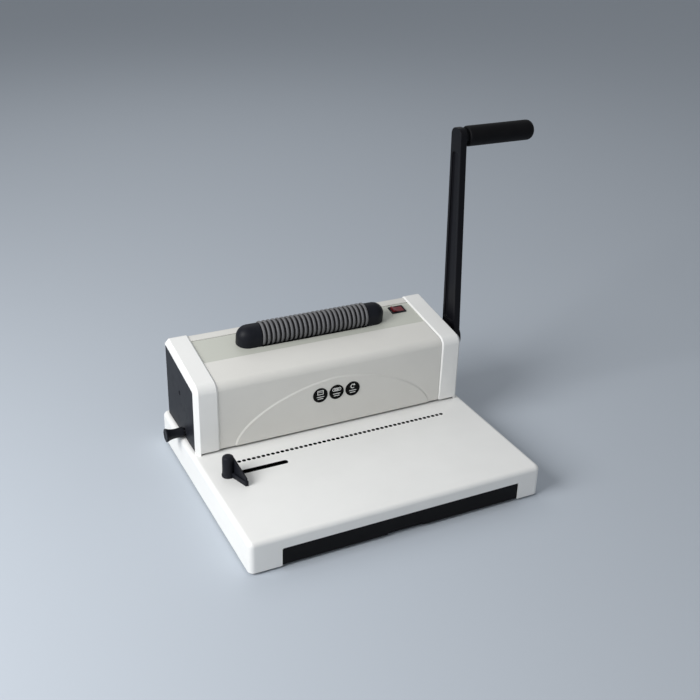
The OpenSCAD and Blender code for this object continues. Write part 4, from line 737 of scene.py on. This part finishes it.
class BINDER_OT_caps(Operator):
    """White end caps with a rim round each side panel"""
    bl_idname = "binder.caps"
    bl_label = "End Caps"

    def execute(self, context):
        shell = context.scene.binder_shell
        for name, node, side in (("cap_left", "left_cap", -1.0), ("cap_right", "right_cap", 1.0)):
            self.cap(shell, name, node, side)
        return {"FINISHED"}

    def cap(self, shell, name, node, side):
        bm = bmesh.new()
        seam, outer = SEAM_X / MM, SIDE_X / MM
        shoulder = outer - shell.cap_edge / MM
        rim = shell.rim / MM
        front, rear = BODY_FRONT / MM, BODY_REAR / MM
        bottom = (TABLE_Z + shell.throat) / MM
        end_z = top_line(shell, rear, rim)
        corner = at(side * shoulder, front, top_line(shell, front, 0))
        back = at(side * shoulder, rear, top_line(shell, rear, 0))
        swept(bm, [at(side * shoulder, front, bottom), corner, back, at(side * shoulder, rear, end_z)],
              Vector((-side * ((shoulder - seam) * MM - shell.seam_edge), 0.0, 0.0)))
        round_fold(bm, shell, corner, shell.front_round, True, 10)
        round_fold(bm, shell, back, shell.rear_round, False, 6)
        behind, rear_bevel = BODY_REAR - shell.rear_round, 0.7 * shell.rear_round
        self.turn_in(bm, at(side * seam, 0, 0).x + side * shell.seam_edge, -side * shell.seam_edge,
                     lambda p: shell.proud - 0.0001)
        bevelled = self.turn_in(bm, corner.x, side * shell.cap_edge,
                                lambda p: shell.cap_edge if p.y < behind else rear_bevel)
        face_x = at(side * outer, 0, 0).x
        rear_y = BODY_REAR - rear_bevel
        outline = [e for e in edges_where(bm, lambda p: same(p.x, face_x))
                   if not all(same(v.co.y, rear_y) for v in e.verts)]
        for vert in points_of(bmesh.ops.extrude_edge_only(bm, edges=outline)):
            spot = self.inside(shell, bevelled[tuple(vert.co)], rim)
            if same(vert.co.y, rear_y):
                vert.co = (face_x, rear_y, end_z * MM)
            elif spot.y > rear_y:
                vert.co = (face_x, rear_y, top_line(shell, rear_y / MM, rim) * MM)
            else:
                vert.co = (face_x, spot.y, spot.z)
        foot_z = at(0, 0, bottom).z
        foot = edges_where(bm, lambda p: abs(p.x - face_x) < shell.cap_edge + 1e-5 and same(p.z, foot_z))
        pulled(bm, foot, (0.0, 0.0, -shell.throat))
        bmesh.ops.remove_doubles(bm, verts=bm.verts[:], dist=TOUCH)
        make_piece(name, bm, "shell_white", "machine", [node], wall=shell.wall, edge=0.0004, sharp=40.0, even=False)

    def turn_in(self, bm, row, run, depth):
        """Slopes an edge of the cap inwards and returns the former place of each new point."""
        bm.normal_update()
        middle = Vector((row, (BODY_FRONT + BODY_REAR) / 2, TABLE_Z + 0.03))
        rail = edges_where(bm, lambda p: same(p.x, row))
        sinks = {}
        for vert in {v for e in rail for v in e.verts}:
            outward = vert.normal if vert.normal.dot(vert.co - middle) > 0.0 else -vert.normal
            sinks[tuple(vert.co)] = Vector((run, 0.0, 0.0)) - outward * depth(vert.co)
        for edge in rail:
            edge.smooth = False
        former = {}
        for vert in points_of(bmesh.ops.extrude_edge_only(bm, edges=rail)):
            place = vert.co.copy()
            vert.co += sinks[tuple(place)]
            former[tuple(vert.co)] = place
        return former

    def inside(self, shell, point, rim):
        """The rim's inner edge beside a point of the cap's outline."""
        y, z = point.y / MM, point.z / MM
        front, rear = BODY_FRONT / MM, BODY_REAR / MM
        radius = shell.front_round / MM
        slope = top_slope(shell)
        hub_y = front + radius
        hub_z = top_line(shell, hub_y, radius)
        if z < hub_z and y < hub_y:
            spot = (front + rim, z)
        elif y < hub_y - radius * math.sin(slope) + 1e-4:
            reach = math.hypot(y - hub_y, z - hub_z)
            spot = (hub_y + (y - hub_y) * (radius - rim) / reach, hub_z + (z - hub_z) * (radius - rim) / reach)
        else:
            depth = min(y + rim * math.sin(slope), rear)
            spot = (depth, top_line(shell, depth, rim))
        return Vector((point.x, spot[0] * MM, spot[1] * MM))


def lever_matrix(lever):
    """Puts lever-made points (x from the table's middle, depth, length from the shaft) in place."""
    return Matrix.Translation(PIVOT) @ Matrix.Rotation(-lever.lean, 4, "X")


class BINDER_OT_lever(Operator):
    """Lever arm with its hub and channels, and the grip"""
    bl_idname = "binder.lever"
    bl_label = "Lever and Grip"

    def execute(self, context):
        lever = context.scene.binder_lever
        self.arm(lever)
        self.grip(lever)
        return {"FINISHED"}

    def half_depth(self, lever, u):
        return (lever.root + (lever.tip - lever.root) * u / lever.reach) / 2

    def arm(self, lever):
        bm = bmesh.new()
        end = lever.reach + lever.above
        low, high = self.half_depth(lever, 0.0), self.half_depth(lever, end)
        inner, hub_from = lever.inner, 0.1855
        start, stop = 0.019, lever.reach - 0.014
        prism(bm, [(inner, -low, 0.0), (inner, -high, end), (inner, high, end), (inner, low, 0.0)],
              (lever.thick, 0.0, 0.0))
        top = [e for e in edges_where(bm, lambda p: p.z > end - TOUCH) if abs(e.verts[0].co.x - e.verts[1].co.x) > MM]
        round_edges(bm, top, 0.009, 8)
        bmesh.ops.recalc_face_normals(bm, faces=bm.faces[:])
        for u in (start, stop):
            cut(bm, [f for f in bm.faces if abs(f.normal.x) > 0.99], (0.0, 0.0, u), (0.0, 0.0, 1.0))
        for face in [f for f in bm.faces if abs(f.normal.x) > 0.99 and start < f.calc_center_median().z < stop]:
            bmesh.ops.inset_region(bm, faces=[face], thickness=lever.rim, use_even_offset=True)
            inward = -face.normal * lever.channel
            floor = points_of(bmesh.ops.extrude_face_region(bm, geom=[face]))
            bmesh.ops.translate(bm, verts=floor, vec=inward)
            bmesh.ops.delete(bm, geom=[face], context="FACES_ONLY")
            round_edges(bm, [e for v in floor for e in v.link_edges if e.other_vert(v) not in floor], 0.0045, 5)
        turned(bm, [(0.0, 0.0), (0.0, 15.8), (1.2, 17.0), (17.0, 17.0), (18.0, 16.0), (18.0, 0.0)],
               Vector((hub_from, 0.0, 0.0)), (1.0, 0.0, 0.0), 56)
        bmesh.ops.transform(bm, matrix=lever_matrix(lever), verts=bm.verts[:])
        make_piece("lever_bar", bm, "lever_paint", "lever", ["lever_arm"], edge=0.0007, steps=3, sharp=40.0)

    def grip(self, lever):
        bm = bmesh.new()
        low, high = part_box("lever_grip")
        long = (high.x - low.x) / MM
        r, dome = lever.grip / 2 / MM, lever.dome / MM
        profile = [(0.0, 6.05), (0.0, r - 1.5), (0.5, r - 0.7), (1.6, r - 0.1), (2.6, r), (long - dome - 2.0, r)]
        profile += [(long - dome + dome * math.sin(a), r - dome + dome * math.cos(a))
                    for a in (math.radians(9.0 * i) for i in range(11))]
        profile += [(long - 0.02, 3.0), (long, 0.0)]
        centre = Vector((low.x - TABLE_X, 0.0, lever.reach))
        turned(bm, profile, centre, (1.0, 0.0, 0.0), 72)
        bmesh.ops.transform(bm, matrix=lever_matrix(lever), verts=bm.verts[:])
        make_piece("grip_sleeve", bm, "grip_rubber", "lever", ["lever_grip"], sharp=50.0)


class BINDER_OT_knob(Operator):
    """Slightly waisted margin knob"""
    bl_idname = "binder.knob"
    bl_label = "Margin Knob"

    def execute(self, context):
        lever = context.scene.binder_lever
        low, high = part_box("margin_knob")
        long = (high.x - low.x) / MM
        r = lever.knob / 2 / MM
        bm = bmesh.new()
        profile = [(0.0, 3.05), (0.0, 6.0), (0.5, 6.5), (3.6, 6.5), (5.0, 6.35), (7.0, 6.1), (9.0, 6.0), (11.0, 6.0),
                   (13.5, 6.15), (15.5, 6.45), (17.2, 6.85), (18.6, 7.3), (long - 3.0, 7.85),
                   (long - 2.2, r - 0.25), (long - 1.7, r), (long - 0.7, r), (long - 0.2, r - 0.3), (long, r - 0.9),
                   (long, r - 2.2), (long - 0.4, r - 2.8), (long - 0.5, 2.0), (long - 0.5, 0.0)]
        centre = Vector((high.x, (low.y + high.y) / 2, (low.z + high.z) / 2))
        turned(bm, profile, centre, (-1.0, 0.0, 0.0), 56)
        make_piece("margin_trumpet", bm, "black_plastic", "margin", ["margin_knob"], sharp=42.0)
        return {"FINISHED"}


class BINDER_OT_guide(Operator):
    """Edge guide on the table: fluted post, low fence and slanted web"""
    bl_idname = "binder.guide"
    bl_label = "Edge Guide"

    def execute(self, context):
        low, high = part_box("edge_guide")
        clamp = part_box("guide_clamp")
        centre = Vector(((clamp[0].x + clamp[1].x) / 2, (clamp[0].y + clamp[1].y) / 2, low.z))
        self.post(low, high, centre)
        tip, back = low.y, centre.y + 0.0058
        self.web(low, high, tip, back, centre)
        self.fence(low, high.x, tip, back, centre)
        return {"FINISHED"}

    def post(self, low, high, centre):
        """Turned post with shallow flutes."""
        bm = bmesh.new()
        tall = (high.z - low.z) / MM
        turned(bm, [(0.0, 1.6), (0.0, 7.9), (1.9, 7.9), (2.3, 7.7), (2.9, 7.2), (4.4, 7.15), (6.0, 7.15),
                    (tall - 5.0, 7.1), (tall - 3.0, 6.95), (tall - 1.5, 6.4), (tall - 0.5, 5.2), (tall, 3.6),
                    (tall, 0.0)],
               centre, (0.0, 0.0, 1.0), 72)
        flutes, depth = 24, 0.00012
        for vert in [v for v in bm.verts if low.z + 0.0055 < v.co.z < high.z - 0.0045]:
            arm = Vector((vert.co.x - centre.x, vert.co.y - centre.y, 0.0))
            vert.co -= arm.normalized() * depth * (0.5 - 0.5 * math.cos(flutes * math.atan2(arm.y, arm.x)))
        make_piece("guide_post_cap", bm, "black_plastic", "guide", sharp=45.0)

    def fence(self, low, face, tip, back, centre):
        """Low straight fence that the sheets' edge rests against."""
        bm = bmesh.new()
        wide, tall = centre.x + 0.002, 0.0062
        prism(bm, [(x, y, low.z) for x, y in ((face, tip), (face - 0.004, tip), (wide, centre.y - 0.0068), (wide, back),
                                              (face, back))], (0.0, 0.0, tall))
        make_piece("guide_fence", bm, "black_plastic", "guide", ["edge_guide"], edge=0.0007, steps=3, sharp=30.0)

    def web(self, low, high, tip, back, centre):
        """Slanted web from the post down to the fence."""
        bm = bmesh.new()
        foot, tip, back = low.z + 0.001, tip + 0.001, back - 0.0004
        inner, ledge = centre.x + 0.0048, high.x - 0.001
        shoulder, end = high.z - 0.003, low.z + 0.0095
        prism(bm, [(x, y, foot) for x, y in ((ledge, tip), (high.x - 0.003, tip), (inner, centre.y - 0.004),
                                             (inner, back), (ledge, back))], (0.0, 0.0, shoulder - foot))
        self.slice(bm, Vector((0.0, tip, end)), Vector((0.0, centre.y - 0.003, shoulder)))
        self.slice(bm, Vector((ledge, 0.0, end - 0.0001)), Vector((centre.x + 0.0068, 0.0, shoulder)))
        make_piece("guide_web", bm, "black_plastic", "guide", edge=0.0005, steps=2, sharp=30.0)

    def slice(self, web, low, high):
        """Cuts off what lies above a slope from a low to a high point that runs straight across."""
        run = high - low
        normal = Vector((-run.x * run.z, -run.y * run.z, run.x ** 2 + run.y ** 2))
        geom = web.verts[:] + web.edges[:] + web.faces[:]
        made = bmesh.ops.bisect_plane(web, geom=geom, plane_co=low, plane_no=normal, clear_outer=True, dist=MERGE)
        bmesh.ops.holes_fill(web, edges=[e for e in made["geom_cut"] if isinstance(e, bmesh.types.BMEdge)], sides=0)


class BINDER_OT_badges(Operator):
    """Three round badges with plain pictograms over two bars: a punched sheet, a coil and a turning arrow"""
    bl_idname = "binder.badges"
    bl_label = "Badges"

    def execute(self, context):
        low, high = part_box("front_badges")
        r = (high.z - low.z) / 2
        middle = Vector(((low.x + high.x) / 2, high.y, (low.z + high.z) / 2))
        step = ((high.x - low.x) - 2 * r) / 2
        bm = bmesh.new()
        thick = (high.y - low.y) / MM
        for i in (-1, 0, 1):
            edge, sunk = r / MM, thick - 0.15
            turned(bm, [(0.0, edge), (thick - 0.3, edge), (thick, edge - 0.4), (thick, edge - 1.2), (sunk, edge - 1.4),
                        (sunk, 0.0)], middle + Vector((i * step, 0.0, 0.0)), (0.0, -1.0, 0.0), 56)
        make_piece("badge_discs", bm, "badge_black", "machine", ["front_badges"], sharp=30.0)
        bm = bmesh.new()
        face = low.y + 0.00015
        for i, draw in ((-1, self.sheet), (0, self.coil), (1, self.arrow)):
            centre = Vector((middle.x + i * step, face, middle.z))
            draw(bm, centre)
            self.bar(bm, centre, -5.0, -2.7, 5.0, -1.7)
            self.bar(bm, centre, -3.8, -5.5, 3.8, -4.5)
        make_piece("badge_prints", bm, "ink", "machine", sharp=30.0)
        return {"FINISHED"}

    ink = 0.00005

    def bar(self, bm, centre, x0, z0, x1, z1):
        """A printed bar between two corners."""
        box(bm, centre + Vector((x0 * MM, -self.ink, z0 * MM)), centre + Vector((x1 * MM, 0.00002, z1 * MM)))

    def loop(self, bm, centre, x, z, outer, width, start=0.0, turn=math.tau):
        """A flat ring or part of one."""
        hub = centre + Vector((x * MM, -self.ink, z * MM))
        aim = Vector((math.cos(start), 0.0, math.sin(start)))
        verts, edges = chain(bm, [hub + aim * (outer - width) * MM, hub + aim * outer * MM])
        whole = turn > math.tau - 1e-6
        bmesh.ops.spin(bm, geom=verts + edges, cent=hub, axis=(0.0, -1.0, 0.0), angle=turn, steps=36, use_merge=whole)

    def sheet(self, bm, centre):
        for corners in ((-4.2, 0.8, 4.2, 1.7), (-4.2, 6.0, 4.2, 6.9), (-4.2, 1.7, -3.3, 6.0), (3.3, 1.7, 4.2, 6.0)):
            self.bar(bm, centre, *corners)
        for i in range(4):
            self.loop(bm, centre, (i - 1.5) * 1.5, 4.5, 0.6, 0.59)

    def coil(self, bm, centre):
        for i in range(4):
            self.loop(bm, centre, (i - 1.5) * 2.4, 3.8, 2.5, 0.8)

    def arrow(self, bm, centre):
        self.loop(bm, centre, 0.0, 3.8, 3.2, 1.1, math.radians(60.0), math.radians(255.0))
        head = [centre + Vector((x * MM, -self.ink, z * MM)) for x, z in ((0.5, 4.6), (2.1, 7.5), (3.6, 4.7))]
        bm.faces.new([bm.verts.new(p) for p in head])


class BINDER_OT_roller(Operator):
    """Ribbed roller: rubber ribs on a dark sleeve"""
    bl_idname = "binder.roller"
    bl_label = "Coil Roller"

    def execute(self, context):
        low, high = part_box("roller_rings")
        count, width = 24, 3.3
        pitch = ((high.x - low.x) / MM - width) / (count - 1)
        flank = [(0.0, 14.27), (0.0, 14.8), (0.09, 15.26), (0.35, 15.65), (0.74, 15.91), (1.2, 16.0)]
        profile = flank + [(width - t, r) for t, r in reversed(flank)]
        bm = bmesh.new()
        for i in range(count):
            turned(bm, profile, Vector((low.x + i * pitch * MM, ROLLER_AXIS.y, ROLLER_AXIS.z)), (1.0, 0.0, 0.0), 56)
        make_piece("roller_ribs", bm, "ring_rubber", "roller", ["roller_rings"], sharp=50.0)
        return {"FINISHED"}


class BINDER_OT_blocks(Operator):
    """Domed end blocks of the roller, open below and bored for the shaft"""
    bl_idname = "binder.blocks"
    bl_label = "Roller Blocks"

    def execute(self, context):
        slope = top_slope(context.scene.binder_shell)
        up = Vector((0.0, -math.sin(slope), math.cos(slope)))
        for name, node, side in (("block_left", "roller_block_left", -1.0), ("block_right", "roller_block_right", 1.0)):
            low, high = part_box(node)
            inner = high.x if side < 0 else low.x
            centre = Vector((inner, ROLLER_AXIS.y, ROLLER_AXIS.z))
            self.block(name, node, centre, side, up, (high.x - low.x) / MM - 1.3 * side)
        return {"FINISHED"}

    def block(self, name, node, centre, side, up, long):
        bm = bmesh.new()
        bore, r, dome, foot = 4.5, 14.4, 15.5, 0.0101
        nose = long - dome
        profile = [(0.0, bore), (0.0, r - 0.7), (0.2, r - 0.2), (0.7, r), (nose, r)]
        profile += [(nose + dome * math.sin(a), r * math.cos(a)) for a in (math.radians(6.0 * i) for i in range(1, 16))]
        turned(bm, profile, centre, (side, 0.0, 0.0), 56)
        geom = bm.verts[:] + bm.edges[:] + bm.faces[:]
        bmesh.ops.bisect_plane(bm, geom=geom, plane_co=centre, plane_no=up, clear_inner=True, dist=TOUCH)
        pulled(bm, edges_where(bm, lambda p: same((p - centre).dot(up), 0.0)), up * -foot)
        make_piece(name, bm, "black_plastic", "machine", [node], wall=0.0015, sharp=35.0)


# Width of the softened edges of the carried-over solids, in metres
SOFT_NODES = {
    "left_side_panel": 0.0007, "right_side_panel": 0.0007, "top_panel": 0.0004, "rear_cover": 0.0005,
    "chip_drawer": 0.0006, "switch_body": 0.0005, "switch_rocker": 0.0005, "power_inlet": 0.0006,
    "punch_bar": 0.0003, "press_plate": 0.0003, "left_frame": 0.0003, "right_frame": 0.0003,
    "tie_bar": 0.0004, "rubber_feet": 0.0006, "base_plate": 0.0003, "motor": 0.0008, "motor_bracket": 0.0003,
    "drive_belt": 0.0002, "guide_clamp": 0.0003, "lever_bolt": 0.0003, "frame_bolts": 0.0003, "rear_screws": 0.0002,
}
# Solids that show another finish than their slot's
PAINTED = {"grip_rod": "lever_paint"}


def smoothing_group():
    """Joins a solid's loose triangles and shades its shallow edges smooth."""
    group = bpy.data.node_groups.new("joined_faces", "GeometryNodeTree")
    group.interface.new_socket("Geometry", in_out="INPUT", socket_type="NodeSocketGeometry")
    group.interface.new_socket("Geometry", in_out="OUTPUT", socket_type="NodeSocketGeometry")

    def add(kind, **values):
        node = group.nodes.new(kind)
        for key, value in values.items():
            node.inputs[key.replace("_", " ")].default_value = value
        return node

    row = [
        add("NodeGroupInput"),
        add("GeometryNodeRemoveAttribute", Name="custom_normal"),
        add("GeometryNodeMergeByDistance", Distance=2e-6),
        add("GeometryNodeSetShadeSmooth"),
        add("GeometryNodeSetShadeSmooth", Shade_Smooth=False),
        add("NodeGroupOutput"),
    ]
    for first, second in zip(row, row[1:]):
        group.links.new(first.outputs[0], second.inputs[0])
    row[4].domain = "EDGE"
    steep = add("FunctionNodeCompare", B=math.radians(34.0))
    steep.operation = "GREATER_THAN"
    group.links.new(add("GeometryNodeInputMeshEdgeAngle").outputs["Unsigned Angle"], steep.inputs["A"])
    group.links.new(steep.outputs["Result"], row[4].inputs["Selection"])
    return group


class BINDER_OT_solids(Operator):
    """Finishes of the carried-over solids, with joined and softened edges"""
    bl_idname = "binder.solids"
    bl_label = "Solids"

    def execute(self, context):
        slots = {part["node"]: part["material_slot"] for part in frame["record"]["subparts"]}
        group = smoothing_group()
        for name, node in frame["nodes"].items():
            for place in node.material_slots:
                place.material = FINISHES[PAINTED.get(name, slots[name])].material
            join = node.modifiers.new("joined_faces", "NODES")
            join.node_group = group
            width = SOFT_NODES.get(name, 0.0)
            if width:
                flat = node.modifiers.new("whole_faces", "DECIMATE")
                flat.decimate_type = "DISSOLVE"
                flat.angle_limit = math.radians(0.4)
                soften(node, width, 2, 34.0)
        return {"FINISHED"}


class BINDER_OT_stage(Operator):
    """Pale floor, soft studio light and the camera"""
    bl_idname = "binder.stage"
    bl_label = "Stage"

    def execute(self, context):
        scene = context.scene
        bm = bmesh.new()
        bmesh.ops.create_grid(bm, x_segments=1, y_segments=1, size=20.0)
        mesh = bpy.data.meshes.new("floor")
        bm.to_mesh(mesh)
        bm.free()
        mesh.materials.append(FINISHES["floor"].material)
        floor = bpy.data.objects.new("floor", mesh)
        scene.collection.objects.link(floor)
        world = bpy.data.worlds.new("studio")
        world.use_nodes = True
        sky = world.node_tree.nodes["Background"]
        sky.inputs["Color"].default_value = (0.93, 0.96, 1.0, 1.0)
        sky.inputs["Strength"].default_value = 0.34
        scene.world = world
        scene.view_settings.view_transform = "Standard"
        self.lamp(scene, "key", (-1.45, -0.25, 1.0), (-0.1, 0.0, 0.1), 0.9, 25.5)
        self.lamp(scene, "fill", (-0.7, -1.9, 1.1), (-0.1, 0.0, 0.1), 1.4, 1.6)
        self.lamp(scene, "back", (0.1, 1.5, 1.8), (0.0, 0.0, 0.1), 1.4, 7.0)
        camera = bpy.data.cameras.new("photo_view")
        camera.sensor_width = 36.0
        camera.lens = 52.32
        camera.shift_x = 0.0026
        camera.shift_y = -0.0016
        eye = bpy.data.objects.new("photo_view", camera)
        right, up, back = (0.8972, -0.4408, 0.0274), (0.1773, 0.4163, 0.8918), (-0.4045, -0.7952, 0.4517)
        turn = Matrix((right, up, back)).transposed().to_4x4()
        eye.matrix_world = Matrix.Translation(at(-492.9, -970.7, 717.3)) @ turn
        scene.collection.objects.link(eye)
        scene.camera = eye
        return {"FINISHED"}

    def lamp(self, scene, name, place, target, size, power):
        light = bpy.data.lights.new(name, "AREA")
        light.size = size
        light.energy = power
        lamp = bpy.data.objects.new(name, light)
        lamp.location = place
        lamp.rotation_euler = (Vector(target) - Vector(place)).to_track_quat("-Z", "Y").to_euler()
        scene.collection.objects.link(lamp)


OPERATORS = (
    BINDER_OT_solids, BINDER_OT_base, BINDER_OT_body, BINDER_OT_caps, BINDER_OT_lever, BINDER_OT_knob, BINDER_OT_guide,
    BINDER_OT_badges, BINDER_OT_roller, BINDER_OT_blocks, BINDER_OT_stage,
)
GROUPS = {
    "binder_shell": ShellSizes, "binder_table": TableSizes, "binder_lever": LeverSizes, "binder_colours": FinishColours,
}


class BINDER_PT_panel(Panel):
    """Lists the machine's pieces"""
    bl_label = "Binder"
    bl_idname = "BINDER_PT_panel"
    bl_space_type = "VIEW_3D"
    bl_region_type = "UI"
    bl_category = "Binder"

    def draw(self, context):
        for kind in OPERATORS:
            self.layout.operator(kind.bl_idname)
        for name, group in GROUPS.items():
            part = self.layout.box()
            for key in group.__annotations__:
                part.prop(getattr(context.scene, name), key)


def register():
    for kind in (*GROUPS.values(), *OPERATORS, BINDER_PT_panel):
        bpy.utils.register_class(kind)
    for name, kind in GROUPS.items():
        setattr(bpy.types.Scene, name, PointerProperty(type=kind))


def unregister():
    for name in GROUPS:
        delattr(bpy.types.Scene, name)
    for kind in (BINDER_PT_panel, *reversed(OPERATORS), *GROUPS.values()):
        bpy.utils.unregister_class(kind)


def main():
    register()
    make_finishes(bpy.context.scene.binder_colours)
    for kind in OPERATORS:
        group, name = kind.bl_idname.split(".")
        getattr(getattr(bpy.ops, group), name)()


if __name__ == "__main__":
    main()
